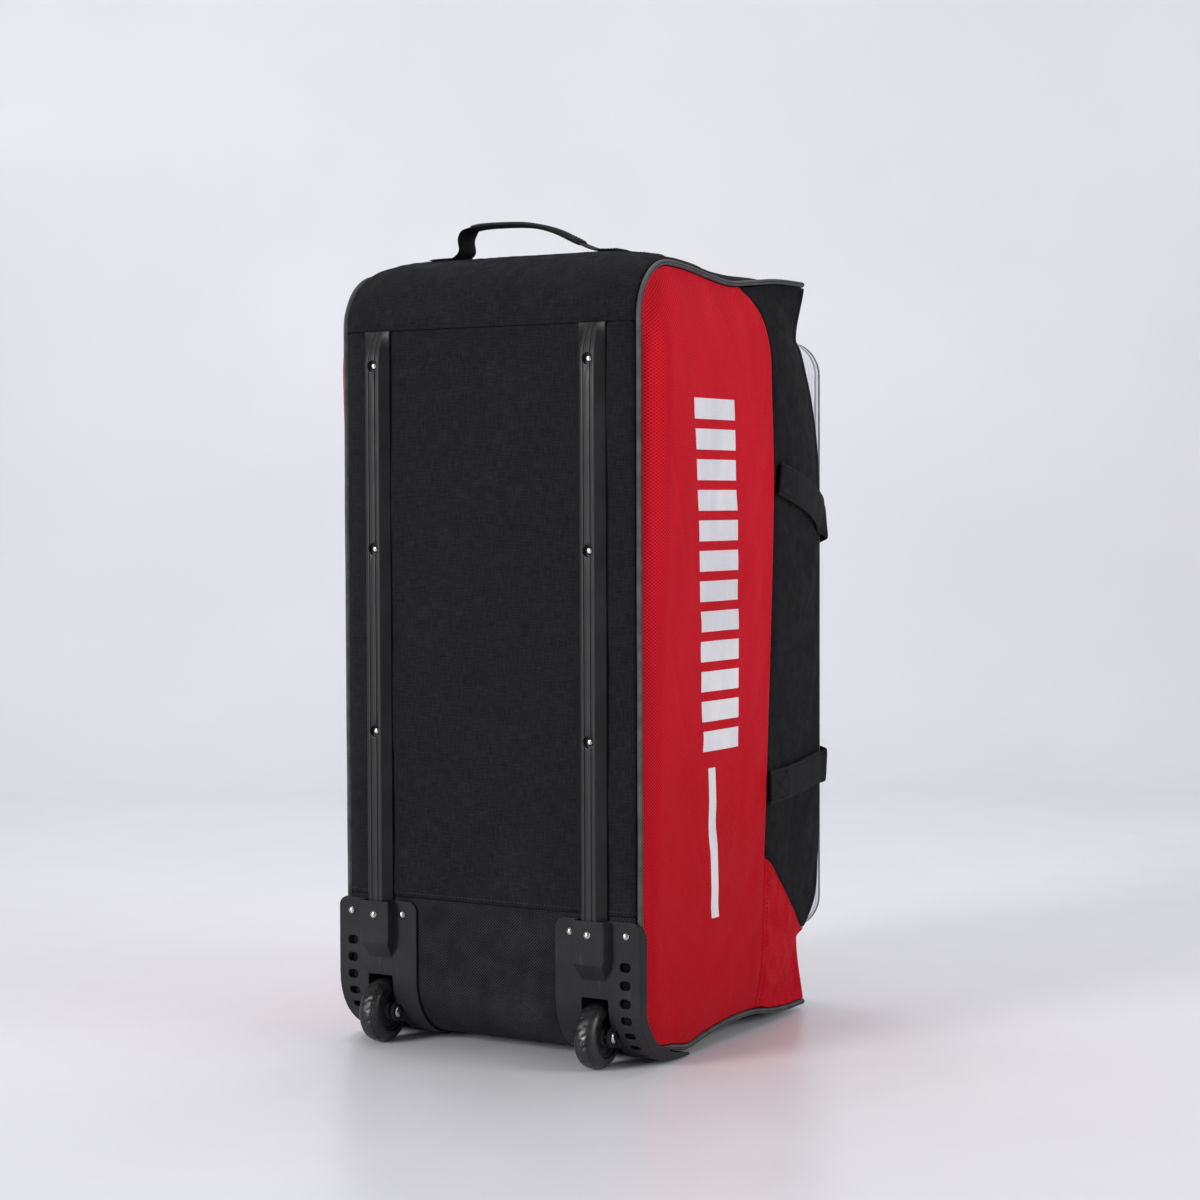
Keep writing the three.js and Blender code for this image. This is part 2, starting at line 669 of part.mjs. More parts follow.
function blackSidePanel() {
  const splitHeadY = splitLine[splitLine.length - 1].depth * frontSeam + splitShift;
  const high = seamTopZ(splitHeadY - cut) - sideInset;
  const frontLow = lidFoot + lidHeight * slantEnd + cut;
  const frontHigh = topSeamZ(frontSeam) - sideInset;
  const rows = frontRows.map((row) => ({
    level: row.split,
    z: lerp(patchHeight, high, row.split),
    frontZ: lerp(frontLow, frontHigh, row.front),
  }));
  rows[0].z += cut;
  const back = (row) => point(splitY(row.z) + cut, row.z);
  const front = (row) => point(frontEdgeY(row.frontZ), row.frontZ);
  const headStart = splitHeadY + cut;
  const head = (u) => {
    const y = lerp(headStart, frontEdgeY(frontHigh), u);
    return point(y, lerp(high, topSeamZ(y) - sideInset, ease(u * 4)));
  };
  const foot = (u) => slantPoint(u, cut).add(point(cut * (1 - u), 0));
  return patchPanel(back, front, foot, head, steps(slantColumns), rows);
}

function cornerPatch() {
  const low = footSeamZ(splitFoot) + sideInset;
  const frontLow = footSeamZ(frontSeam) + sideInset;
  const frontHigh = lidFoot + lidHeight * slantEnd - cut;
  const rows = [0, 0.1, 0.25, 0.5, 0.75, 1].map((v) => ({
    level: v, z: lerp(low, patchHeight - cut * v, v), frontZ: lerp(frontLow, frontHigh, v),
  }));
  const back = (row) => point(splitY(row.z) + cut, row.z);
  const front = (row) => point(frontEdgeY(row.frontZ), row.frontZ);
  const footStart = splitY(low) + cut;
  const foot = (u) => {
    const y = lerp(footStart, frontEdgeY(frontLow), u);
    return point(y, lerp(low, footSeamZ(y) + sideInset, ease(u * 4)));
  };
  const head = (u) => slantPoint(u, -cut).add(point(cut * (1 - u), 0));
  return patchPanel(back, front, foot, head, steps(slantColumns), rows);
}

// Lid: outline with round corners, stepped out or in by an offset
function lidOutline(offset) {
  const radius = lidCorner + offset;
  const corners = [[1, 1, 0], [-1, 1, 1], [-1, -1, 2], [1, -1, 3]];
  return corners.flatMap(([sideX2, sideZ, turn]) => {
    const x = sideX2 * (halfLid - lidCorner);
    const z = sideZ > 0 ? lidHead - lidCorner : lidFoot + lidCorner;
    return steps(6).map((s) => {
      const angle = (turn + s) * quarter;
      return [x + radius * Math.cos(angle), z + radius * Math.sin(angle)];
    });
  });
}

function addLid() {
  const wallStart = frontSeam - lidWallDepth;
  const pipeStart = lidRim - lidPipe / 2;
  const wall = prismAlongY(lidOutline(0), wallStart, pipeStart - gap, [lidOutline(-tape)]);
  addPiece('lid_wall', wall, 'paleTape');
  const bulge = lidPipe / 4;
  const pipeHole = lidOutline(bulge - lidPipe);
  const pipe = prismAlongY(lidOutline(bulge), pipeStart, pipeStart + lidPipe, [pipeHole]);
  addPiece('lid_piping', pipe, 'darkPiping');

  const rim = lidOutline(bulge - lidPipe - gap);
  const middleZ = (lidFoot + lidHead) / 2;
  const rings = [1, 0.92, 0.78, 0.45, 0].map((size) => {
    const ring = rim.map(([x, z]) => {
      const ringZ = middleZ + (z - middleZ) * size;
      return new THREE.Vector3(x * size, lidFace(x * size, ringZ), ringZ);
    });
    return [...ring, ring[0].clone()];
  });
  const lid = sheetBody(rings, () => new THREE.Vector3(0, -tape, 0), true);
  addPiece('lid_panel', lid, 'blackCloth');
}

// Front cloth between an end seam and the lid; toward is +1 over the lid, -1 under it
function borderPanel(toward) {
  const lidEnd = toward > 0 ? lidHead : lidFoot;
  const seamZ = toward > 0 ? topSeamZ(frontSeam) - sideInset : footSeamZ(frontSeam) + sideInset;
  const middleX = halfLid - lidCorner;
  const middleZ = lidEnd - toward * lidCorner;
  const radius = lidCorner + gap;
  const turns = steps(4).map((s) => lerp(quarter / 3, quarter, s));
  const lidLine = turns.map((a) => (
    [middleX + radius * Math.cos(a), middleZ + toward * radius * Math.sin(a)]));
  const limit = (z) => sideFrame(frontSeam - lidWallDepth, z) - cloth - 2 * gap;
  const startZ = middleZ + toward * radius * Math.sin(quarter / 5);
  const right = [[limit(startZ), startZ], ...lidLine];
  const inner = [...right, [0, lidEnd + toward * gap], ...right.map(([x, z]) => [-x, z]).reverse()];
  const span = limit(seamZ);
  const outerShares = [1, 0.93, 0.86, 0.8, 0.76, 0.72];
  const outer = [...outerShares, 0, ...outerShares.map((s) => -s).reverse()];
  const pinch = -reachLine[0].reach * lidStand;
  const rows = steps(3).map((v) => inner.map(([x, z], j) => {
    const height = lerp(z, seamZ, v);
    const share = lerp(x / limit(z), outer[j], v);
    const climb = Math.min(Math.max((height - lidEnd) / (seamZ - lidEnd), 0), 1);
    return new THREE.Vector3(share * limit(height), frontSeam - pinch * (1 - climb ** 2), height);
  }));
  return sheetBody(rows, () => new THREE.Vector3(0, -cloth, 0));
}

// Piping: half of the loop round one side and both ends, from middle to middle
function pipingStations() {
  const stations = [];
  const start = gap / 2;
  const straight = halfSeam - seamTurn;
  const turnY = frontSeam - seamTurn;
  const put = (x, y, z) => stations.push(new THREE.Vector3(x, y, z));
  const corner = (share, z) => {
    const angle = quarter * (1 - share);
    put(straight + seamTurn * Math.cos(angle), turnY + seamTurn * Math.sin(angle), z);
  };
  [0, 0.5].forEach((s) => put(lerp(start, straight, s), frontSeam, frontSeamFoot));
  steps(3).forEach((s) => corner(s, footSeamZ(frontSeam)));
  footSeamLine.slice(1, -1).reverse().forEach((row) => {
    const y = lerp(cornerY, frontSeam, row.depth);
    if (y < turnY - seamTurn) put(halfSeam, y, footSeamZ(y));
  });
  const footArc = arcPoints(cornerY, cornerZ, seamCorner, 3 * quarter, 2 * quarter, 8);
  footArc.forEach((p) => put(halfSeam, p.x, p.y));
  put(halfSeam, seamBack, (cornerZ + topCornerZ) / 2);
  const headArc = arcPoints(topCornerY, topCornerZ, topCornerRadius, 2 * quarter, quarter, 8);
  headArc.forEach((p) => put(halfSeam, p.x, p.y));
  topSeamLine.slice(1, -1).forEach((row) => {
    const y = lerp(topCornerY, frontSeam, row.depth);
    put(halfSeam, y, topSeamZ(y));
  });
  steps(3).reverse().forEach((s) => corner(s, topSeamZ(frontSeam)));
  [0.5, 0].forEach((s) => put(lerp(start, straight, s), frontSeam, topSeamZ(frontSeam)));
  return stations;
}

// Skid rail up the back, with two grooves, a sloping head and counterbores
function railShape() {
  const half = railBase / 2;
  const face = railFace / 2;
  const front = railY - railStand;
  const section = [
    [-half, railY], [-half, railY - railLip], [-face, front],
    ...[-railGroovePlace, railGroovePlace].flatMap((x) => (
      [[x - railGroove, front], [x, front + railGroove], [x + railGroove, front]])),
    [face, front], [half, railY - railLip], [half, railY],
  ];
  const shape = new THREE.Shape(section.map(([x, y]) => new THREE.Vector2(x, y)));
  const body = new THREE.ExtrudeGeometry(shape, { depth: railHead - railFoot, bevelEnabled: false });
  body.translate(0, 0, railFoot);
  const slope = prismAlongX([
    [front - 1, railHead - railRamp], [railY - railLip, railHead + 1], [front - 1, railHead + 1],
  ], -railBase, railBase);
  const sinks = steps(rivetCount - 1).map((s) => {
    const bore = new THREE.CylinderGeometry(sinkRadius, sinkRadius, sinkDepth + 1, smallSides);
    const z = rivetFirst + s * (rivetCount - 1) * rivetPitch;
    return bore.translate(0, front + (sinkDepth + 1) / 2 - 1, z);
  });
  return cutAway(body, [slope, ...sinks]).translate(railPlace, 0, 0);
}

// A rivet's dome points towards -Y; its foot is at y = 0
function rivetShape() {
  const profile = [[0, 0], [1, 0], [0.94, 0.5], [0.6, 0.88], [0, 1]]; // shares of radius and rise
  const points = profile.map(([r, h]) => new THREE.Vector2(r * rivetHead, h * rivetRise));
  return new THREE.LatheGeometry(points, 8).rotateX(Math.PI);
}

// Moulded wheel guard round the lower back corner
function guardOutlineArc(radius, count) {
  return steps(count).map((s) => {
    const angle = (2 + s) * quarter;
    return [cornerY + radius * Math.cos(angle), cornerZ + radius * Math.sin(angle)];
  });
}

function guardShape() {
  const turns = 6;
  const outer = [[0, guardHead], ...guardOutlineArc(guardCorner, turns), [meshSeamDepth, guardTipRise]];
  const inner = [[guardPlate, guardHead], ...guardOutlineArc(guardCorner - guardPlate, turns),
    [meshSeamDepth, guardTipRise + guardPlate]];
  const plate = toSolid(prismAlongX([...outer, ...inner.slice().reverse()], guardInner, guardOuter));

  const rimRadius = guardCorner - flangeDepth * 0.9;
  const flangeInner = [
    [flangeDepth * 0.5, guardHead - 2], [flangeDepth, guardHead - flangeDepth * 1.2],
    [flangeDepth * 0.97, cornerZ], ...guardOutlineArc(rimRadius, turns).slice(1, -1),
    [cornerY - flangeDepth * 0.6, guardFoot + flangeDepth * 0.74],
    [lerp(cornerY, meshSeamDepth, 0.4), flangeDepth * 0.5],
    [meshSeamDepth, guardTipRise + guardPlate + gap],
  ];
  const rim = [...outer, ...flangeInner.slice().reverse()];
  const flange = toSolid(prismAlongX(rim, guardOuter - guardPlate, guardOuter));

  const sleeveFace = railY - railStand - gap - guardPlate;
  const sleeveHalf = railBase / 2 + gap + guardPlate;
  const root = guardPlate / 6; // the sleeve starts a little inside the plate
  const sleeve = toSolid(prismAlongX([
    [root, guardHead], [sleeveFace, guardHead], [sleeveFace, sleeveFoot + sleeveRamp], [root, sleeveFoot],
  ], railPlace - sleeveHalf, railPlace + sleeveHalf));
  const channel = toSolid(prismAlongX([
    [sleeveFace + guardPlate, railFoot - gap], [guardPlate + 1, railFoot - gap],
    [guardPlate + 1, guardHead + 1], [sleeveFace + guardPlate, guardHead + 1],
  ], railPlace - railBase / 2 - gap, railPlace + railBase / 2 + gap));

  const within = [...outer.slice(1), [meshSeamDepth, cornerZ * 1.8], [0, cornerZ * 1.8]];
  const behind = toSolid(prismAlongX(within, guardInner, guardOuter));
  const wellReach = wellHalf + cheek;
  const round = (radius, sides, from, to) => (
    toSolid(prismAlongX(circle(wheelDepth, wheelRadius, radius, sides), from, to)));
  const well = round(wheelWell + wellWall, wellSides, wheelPlace - wellReach, wheelPlace + wellReach)
    .intersect(behind);
  const bossLine = circle(wheelDepth, wheelRadius, bossRadius, 16)
    .filter(([y]) => y < wheelDepth + 1)
    .sort((a, b) => b[1] - a[1]);
  const fin = [
    [cornerY * 0.16, wheelRadius * 1.75], ...bossLine, [cornerY * 0.3, wheelRadius * 0.6],
    [cornerY * 0.5, wheelRadius],
  ];
  const fins = [[-wellReach, -wellHalf], [wellHalf, wellReach]].map(([from, to]) => (
    toSolid(prismAlongX(fin, wheelPlace + from, wheelPlace + to))));
  const wheelSpace = round(wheelWell, wellSides, wheelPlace - wellHalf, wheelPlace + wellHalf);
  const bore = round(axleRadius + 2 * gap, smallSides, guardInner, guardOuter);
  const headReach = wellReach + axleCap + 3 * gap;
  const heads = [[-headReach, -wellReach], [wellReach, headReach]].map(([from, to]) => (
    round(axleHead + 2 * gap, smallSides, wheelPlace + from, wheelPlace + to)));

  let solid = plate.add(flange).add(sleeve).add(well).add(fins[0]).add(fins[1]);
  solid = solid.subtract(channel).subtract(wheelSpace).subtract(bore).subtract(heads[0]).subtract(heads[1]);
  guardSlots().forEach((slot) => {
    solid = solid.subtract(toSolid(slot));
  });
  return fromSolid(solid.intersect(toSolid(guardFront())));
}

// The guard's outline seen from behind, with its two round top corners
function guardFront() {
  const shape = [[guardInner, -wheelRadius], [guardOuter, -wheelRadius]];
  const arc = (x, from) => steps(4).map((s) => {
    const angle = from + s * quarter;
    return [x + guardRound * Math.cos(angle), guardHead - guardRound + guardRound * Math.sin(angle)];
  });
  shape.push(...arc(guardOuter - guardRound, 0), ...arc(guardInner + guardRound, quarter));
  return prismAlongY(shape, -wheelRadius * 2, frontSeam);
}

// Slots in a column, spaced along the guard's outline down and round the corner
function guardSlots() {
  const straight = slotFirst - cornerZ;
  return steps(slotCount - 1).map((s) => {
    const travel = s * (slotCount - 1) * slotPitch;
    const past = Math.max(travel - straight, 0) / guardCorner;
    const bevel = 2;
    const half = slotWidth / 2;
    const rise = slotHeight / 2;
    const outline = [
      [-half, -rise + bevel], [-half + bevel, -rise], [half - bevel, -rise], [half, -rise + bevel],
      [half, rise - bevel], [half - bevel, rise], [-half + bevel, rise], [-half, rise - bevel],
    ];
    const slot = prismAlongY(outline, -guardPlate, guardPlate * 2);
    const z = travel < straight ? slotFirst - travel : cornerZ;
    slot.translate(slotPlace, -cornerY, z - cornerZ);
    slot.rotateX(past);
    return slot.translate(0, cornerY, cornerZ);
  });
}

// A round piece about X from [radius, place] pairs
function turned(points, sides) {
  const profile = points.map(([r, h]) => new THREE.Vector2(r, h));
  return new THREE.LatheGeometry(profile, sides).rotateZ(quarter);
}

// Wheels on the two axles
function tyreShape() {
  const half = wheelWidth / 2;
  const inner = wheelRim + gap;
  const depth = wheelRadius - inner;
  const points = [
    [inner, -half], [inner + depth * 0.65, -half], [wheelRadius, -half * 0.5],
    [wheelRadius, half * 0.5], [inner + depth * 0.65, half], [inner, half], [inner, -half],
  ];
  return turned(points, 20);
}

function hubShape() {
  const half = wheelWidth * 0.44;
  const bore = axleRadius + gap;
  const nave = bore + 5;
  const dish = 4;
  const points = [
    [bore, -half], [nave, -half], [wheelRim - dish, -half + dish], [wheelRim, -half],
    [wheelRim, half], [wheelRim - dish, half - dish], [nave, half], [bore, half], [bore, -half],
  ];
  return turned(points, 14);
}

function axleShape() {
  const reach = wellHalf + cheek + gap;
  const end = reach + axleCap;
  const rim = reach + axleCap * 0.4;
  const points = [
    [0, -end], [axleHead * 0.7, -end], [axleHead, -rim], [axleHead, -reach], [axleRadius, -reach],
    [axleRadius, reach], [axleHead, reach], [axleHead, rim], [axleHead * 0.7, end], [0, end],
  ];
  return turned(points, 10);
}

// Strip of webbing along a line of [x, z] points, drawn out along Y
function stripAlongX(line, width, thick, y) {
  const knots = line.map(([x, z]) => new THREE.Vector3(x, 0, z));
  const curve = new THREE.CatmullRomCurve3(knots, false, 'centripetal');
  const count = line.length;
  const places = steps(count).map((s) => curve.getPoint(s));
  const ways = steps(count).map((s) => curve.getTangent(s));
  const rows = places.map((p, k) => {
    const up = new THREE.Vector3(-ways[k].z, 0, ways[k].x).multiplyScalar(thick / 2);
    return [p.clone().add(up).setY(y - width / 2), p.clone().add(up).setY(y + width / 2)];
  });
  return sheetBody(rows, (p, i) => new THREE.Vector3(ways[i].z, 0, -ways[i].x).multiplyScalar(thick));
}

// Grab handle on the top end: share of the span, share of the rise
const handleLine = [
  { across: -0.5, up: 0 }, { across: -0.43, up: 0 }, { across: -0.37, up: 0.02 },
  { across: -0.336, up: 0.22 }, { across: -0.34, up: 0.62 }, { across: -0.318, up: 0.88 },
  { across: -0.27, up: 0.98 }, { across: -0.125, up: 1 }, { across: 0.025, up: 0.93 },
  { across: 0.146, up: 0.72 }, { across: 0.238, up: 0.44 }, { across: 0.31, up: 0.2 },
  { across: 0.38, up: 0.03 }, { across: 0.43, up: 0 }, { across: 0.5, up: 0 },
];

function topSurfaceZ(x, y) {
  const at = topStation(y);
  return at.z + at.crown * crownShape(Math.abs(x) / at.half, at.flat);
}

function handleSeatZ(x) {
  const near = [-0.5, 0, 0.5].map((s) => topSurfaceZ(x, handleDepth + s * handleWidth));
  return Math.max(...near) + gap + webbing / 2;
}

function topHandle() {
  const line = handleLine.map((row) => {
    const x = row.across * handleSpan;
    return [x, handleSeatZ(x) + row.up * (handleRise - webbing / 2)];
  });
  const whole = toSolid(stripAlongX(line, gripWidth, webbing, handleDepth));
  const left = toSolid(stripAlongX(line.slice(0, 5), handleWidth, webbing, handleDepth));
  const grip = toSolid(stripAlongX(line.slice(6, 11), gripWidth, gripThick, handleDepth));
  const right = toSolid(stripAlongX(line.slice(11), handleWidth, webbing, handleDepth));
  return fromSolid(whole.add(left).add(grip).add(right));
}

// Carry handle: from the side cloth round the lid's rim, in a loop on the lid.
// lie says which face it lies on: 0 on the side, 1 on the lid.
const strapLine = [
  { depth: 0.62, height: 0.768, across: 1, lie: 0 }, { depth: 0.72, height: 0.754, across: 1, lie: 0 },
  { depth: 0.83, height: 0.736, across: 1, lie: 0 }, { depth: 0.93, height: 0.716, across: 1, lie: 0 },
  { depth: 0.98, height: 0.703, across: 1, lie: 0 }, { depth: 1, height: 0.694, across: 1, lie: 0.5 },
  { depth: 1, height: 0.683, across: 0.93, lie: 1 }, { depth: 1, height: 0.663, across: 0.83, lie: 1 },
  { depth: 1, height: 0.625, across: 0.72, lie: 1 }, { depth: 1, height: 0.57, across: 0.655, lie: 1 },
  { depth: 1, height: 0.48, across: 0.63, lie: 1 }, { depth: 1, height: 0.39, across: 0.655, lie: 1 },
  { depth: 1, height: 0.34, across: 0.72, lie: 1 }, { depth: 1, height: 0.306, across: 0.83, lie: 1 },
  { depth: 1, height: 0.29, across: 0.93, lie: 1 }, { depth: 1, height: 0.282, across: 1, lie: 0.5 },
  { depth: 0.98, height: 0.28, across: 1, lie: 0 }, { depth: 0.93, height: 0.28, across: 1, lie: 0 },
  { depth: 0.83, height: 0.274, across: 1, lie: 0 }, { depth: 0.72, height: 0.27, across: 1, lie: 0 },
  { depth: 0.62, height: 0.268, across: 1, lie: 0 },
];

function strapPlace(row) {
  const z = lidFoot + lidHeight * row.height;
  const room = gap + webbing / 2;
  const spread = [-0.5, -0.25, 0, 0.25, 0.5].map((s) => z + s * strapWidth);
  if (row.lie === 0) {
    const y = lidRim * row.depth - 5 * (row.depth > 0.97);
    const x = Math.max(...spread.map((h) => sideX(Math.min(y, frontEdgeY(h)), h)));
    return new THREE.Vector3(x + room + strapRoom, y, z);
  }
  if (row.lie < 1) return new THREE.Vector3(halfLid + 6.5, lidRim + 4.5, z);
  const x = halfLid * row.across;
  const near = [-0.5, 0, 0.5].flatMap((s) => spread.map((h) => lidFace(x + s * strapWidth, h)));
  return new THREE.Vector3(x, Math.max(...near, lidRim + lidPipe - 2) + room + gap, z);
}

function carryHandle() {
  const places = strapLine.map(strapPlace);
  const curve = new THREE.CatmullRomCurve3(places, false, 'centripetal');
  const count = Math.round((strapLine.length - 1) * 1.5);
  const rows = [];
  const inward = [];
  steps(count).forEach((s) => {
    const at = curve.getPoint(s);
    const way = curve.getTangent(s);
    const place = s * (strapLine.length - 1);
    const row = Math.min(Math.floor(place), strapLine.length - 2);
    const lie = lerp(strapLine[row].lie, strapLine[row + 1].lie, place - row) * quarter;
    const out = new THREE.Vector3(Math.cos(lie), Math.sin(lie), 0);
    const across = out.clone().cross(way).normalize().multiplyScalar(strapWidth / 2);
    const face = way.clone().cross(across).normalize().multiplyScalar(-1);
    if (face.dot(out) < 0) face.multiplyScalar(-1);
    const outer = at.clone().addScaledVector(face, webbing / 2);
    rows.push([outer.clone().sub(across), outer.clone().add(across)]);
    inward.push(face.multiplyScalar(-webbing));
  });
  return sheetBody(rows, (p, i) => inward[i]);
}

// Both sides alike: the left is the mirror image of the right
function addSide(side, mirror) {
  const group = new THREE.Group();
  group.scale.x = mirror;
  bag.add(group);
  const add = (name, geometry, finish) => addPiece(name.replace('SIDE', side), geometry, finish, group);
  add('side_panel_SIDE', redPanel(), 'redMesh');
  add('side_front_panel_SIDE', blackSidePanel(), 'blackCloth');
  add('corner_patch_SIDE', cornerPatch(), 'redWeave');
  add('piping_SIDE', tubeAlong(pipingStations(), pipingRadius, 6), 'greyPiping');
  add('rail_SIDE', railShape(), 'railPlastic');
  add('wheel_guard_SIDE', guardShape(), 'guardPlastic');
  add('carry_handle_SIDE', carryHandle(), 'webbing');

  const sinkFloor = railY - railStand + sinkDepth - gap;
  for (let k = 0; k < rivetCount; k += 1) {
    const rivet = add(`rail_rivet_SIDE_${k + 1}`, rivetShape(), 'chrome');
    rivet.position.set(railPlace, sinkFloor, rivetFirst + k * rivetPitch);
  }
  guardRivets.forEach((x, k) => {
    const rivet = add(`guard_rivet_SIDE_${k + 1}`, rivetShape(), 'chrome');
    const onSleeve = Math.abs(x - railPlace) < railBase / 2;
    const face = onSleeve ? railY - railStand - gap - guardPlate : 0;
    rivet.position.set(x, face - gap, guardRivetHeight);
  });
  const wheelParts = [['tyre_SIDE', tyreShape(), 'rubber'], ['hub_SIDE', hubShape(), 'hubPlastic'],
    ['axle_SIDE', axleShape(), 'chrome']];
  wheelParts.forEach(([name, geometry, finish]) => {
    add(name, geometry, finish).position.set(wheelPlace, wheelDepth, wheelRadius);
  });
}

addWrapPanels();
addLid();
addPiece('top_border', borderPanel(1), 'blackCloth');
addPiece('bottom_border', borderPanel(-1), 'redWeave');
addPiece('top_handle', topHandle(), 'webbing');
addSide('right', 1);
addSide('left', -1);

const footprint = new THREE.Box3().setFromObject(bag);
bag.position.y = -(footprint.min.y + footprint.max.y) / 2;

const group = new THREE.Group();
group.add(bag);

export default group;
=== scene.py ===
import json
import math

import bpy
import numpy as np
from mathutils import Matrix, Vector

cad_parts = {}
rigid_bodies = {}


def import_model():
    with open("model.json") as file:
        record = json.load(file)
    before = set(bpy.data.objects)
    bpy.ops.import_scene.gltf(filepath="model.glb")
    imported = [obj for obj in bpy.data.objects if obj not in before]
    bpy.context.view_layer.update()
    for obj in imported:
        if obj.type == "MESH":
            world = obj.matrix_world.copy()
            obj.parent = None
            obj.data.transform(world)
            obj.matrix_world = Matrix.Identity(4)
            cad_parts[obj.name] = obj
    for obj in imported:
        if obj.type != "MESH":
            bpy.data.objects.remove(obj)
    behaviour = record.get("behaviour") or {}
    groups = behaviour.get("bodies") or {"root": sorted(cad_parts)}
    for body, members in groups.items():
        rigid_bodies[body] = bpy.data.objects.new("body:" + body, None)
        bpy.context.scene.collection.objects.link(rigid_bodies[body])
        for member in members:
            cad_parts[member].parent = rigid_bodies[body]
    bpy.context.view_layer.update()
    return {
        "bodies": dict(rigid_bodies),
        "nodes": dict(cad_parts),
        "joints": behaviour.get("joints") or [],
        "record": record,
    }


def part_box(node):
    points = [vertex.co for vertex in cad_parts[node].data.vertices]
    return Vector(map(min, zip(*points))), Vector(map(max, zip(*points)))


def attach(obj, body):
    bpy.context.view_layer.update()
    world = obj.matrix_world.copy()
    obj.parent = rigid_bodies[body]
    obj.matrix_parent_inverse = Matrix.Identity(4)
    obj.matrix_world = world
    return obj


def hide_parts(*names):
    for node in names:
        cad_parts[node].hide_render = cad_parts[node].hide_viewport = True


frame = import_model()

# Sizes in millimetres, the same as the frame's. x runs across the bag, y from the
# back board to the lid, z up. y = 0 is the outer face of the wheel guards.
HALF_SEAM = 187.0
FRONT_SEAM = 400.0
TOP_SEAM = 849.0
FOOT_SEAM = 9.0
CLOTH = 2.5
GAP = 0.3
PIPING = 3.0
BACK_ROLL = 8.7
TOP_RADIUS = 61.0
TOP_SAG = 12.0
FOOT_LIFT = 11.0
TOP_CROWN = 18.0
SIDE_BULGE = 24.0
BACK_RISE, TOP_FALL, FOOT_FALL, FRONT_FALL = 26.0, 90.0, 70.0, 110.0
SEAM_TURN = 8.0
MESH_SEAM_Z, MESH_SEAM_Y = 163.0, 107.0
FLOOR_START, FLOOR_END = 140.0, 375.0
SPLIT_FOOT, SPLIT_SHIFT = 272.0, 2.0
PATCH_HEIGHT = 192.0
HALF_LID, LID_FOOT, LID_HEAD, LID_CORNER = 178.0, 85.0, 785.0, 40.0
LID_STAND, LID_DOME, LID_WALL_DEPTH, LID_TAPE, LID_PIPE = 58.0, 14.0, 14.0, 2.0, 4.0
GUARD_PLATE, GUARD_FOOT, GUARD_CORNER = 3.0, 3.0, 70.0
GUARD_INNER, GUARD_OUTER, GUARD_HEAD, GUARD_ROUND, GUARD_TIP = 89.5, 193.5, 159.0, 11.0, 1.2
FLANGE = 16.0
RAIL_X, RAIL_BASE, RAIL_FACE, RAIL_STAND, RAIL_LIP = 137.0, 32.0, 17.5, 13.0, 2.5
RAIL_FOOT, RAIL_HEAD, RAIL_RAMP = 118.0, 784.0, 29.0
GROOVE, GROOVE_X = 1.0, 4.0
RIVET_ROWS = (346.0, 546.0, 746.0)
RIVET_HEAD, RIVET_RISE = 4.5, 3.0
SINK_RADIUS, SINK_DEPTH = 6.25, 5.0
SLEEVE_FOOT, SLEEVE_RAMP = 94.0, 18.0
GUARD_RIVETS, GUARD_RIVET_Z = (176.0, 137.0, 108.0), 144.0
SLOT_X, SLOT_WIDE, SLOT_HIGH, SLOT_PITCH, SLOT_COUNT, SLOT_FIRST = 175.0, 12.5, 9.5, 19.2, 7, 111.0
WHEEL_RADIUS, WHEEL_WIDE, WHEEL_Y, WHEEL_X = 35.0, 26.0, 6.0, 138.0
WHEEL_RIM, WELL_RADIUS, WELL_WALL, WELL_HALF, CHEEK = 22.0, 40.5, 2.5, 16.0, 3.5
BOSS, AXLE, AXLE_HEAD, AXLE_CAP = 11.0, 4.0, 6.5, 2.5
HANDLE_WIDE, GRIP_WIDE, GRIP_THICK, WEBBING = 34.0, 22.0, 6.0, 2.5
HANDLE_Y, HANDLE_SPAN, HANDLE_RISE = 95.0, 240.0, 36.0
STRAP_WIDE, STRAP_ROOM = 38.0, 2.0

CLOTH_BACK = GUARD_PLATE + GAP
SEAM_BACK = CLOTH_BACK + BACK_ROLL
CORNER_Y = GUARD_CORNER
CORNER_Z = GUARD_CORNER + GUARD_FOOT
CLOTH_CORNER = GUARD_CORNER - GUARD_PLATE - GAP
SEAM_CORNER = CLOTH_CORNER - BACK_ROLL
TOP_CORNER_Y = SEAM_BACK + TOP_RADIUS
TOP_CORNER_Z = TOP_SEAM - TOP_RADIUS
BACK_SEAM_Z = TOP_CORNER_Z - 4.0
CLOTH_EDGE = HALF_SEAM - PIPING - GAP
SIDE_INSET = PIPING + 1.0
CUT = GAP / 2 + 0.05
LID_HEIGHT = LID_HEAD - LID_FOOT
LID_MIDDLE = (LID_HEAD + LID_FOOT) / 2
LID_RIM = FRONT_SEAM + LID_STAND
LID_TUCK = HALF_SEAM - HALF_LID - 2 * GAP - CLOTH
RAIL_Y = CLOTH_BACK - GAP
QUARTER = math.pi / 2
BACK_FLAT, END_FLAT = 0.86, 0.5

# Lines along the bag: each row has a place and a value, as shares of named sizes
TOP_SEAM_SAG = [(0, 0), (0.126, 0.17), (0.304, 0.75), (0.43, 1), (0.58, 0.67), (0.776, 0.17), (1, 0.08)]
FOOT_SEAM_LIFT = [(0, 0.55), (0.13, 0), (0.216, 0.36), (0.312, 0.73), (0.453, 1), (0.6, 0.91),
                  (0.75, 0.27), (0.907, 0), (1, 0)]
CROWN_RISE = [(0, 0.94), (0.15, 1), (0.39, 0.8), (0.75, 0.2), (1, 0)]
SIDE_FULL = [(0, 0.3), (0.17, 0.33), (0.41, 0.5), (0.65, 0.83), (0.82, 1), (1, 1)]
SPLIT_DEPTH = [(0, 0.7), (0.1, 0.705), (0.28, 0.71), (0.455, 0.705), (0.63, 0.697), (0.806, 0.676),
               (0.91, 0.667), (0.958, 0.652), (0.984, 0.62), (1, 0.59)]
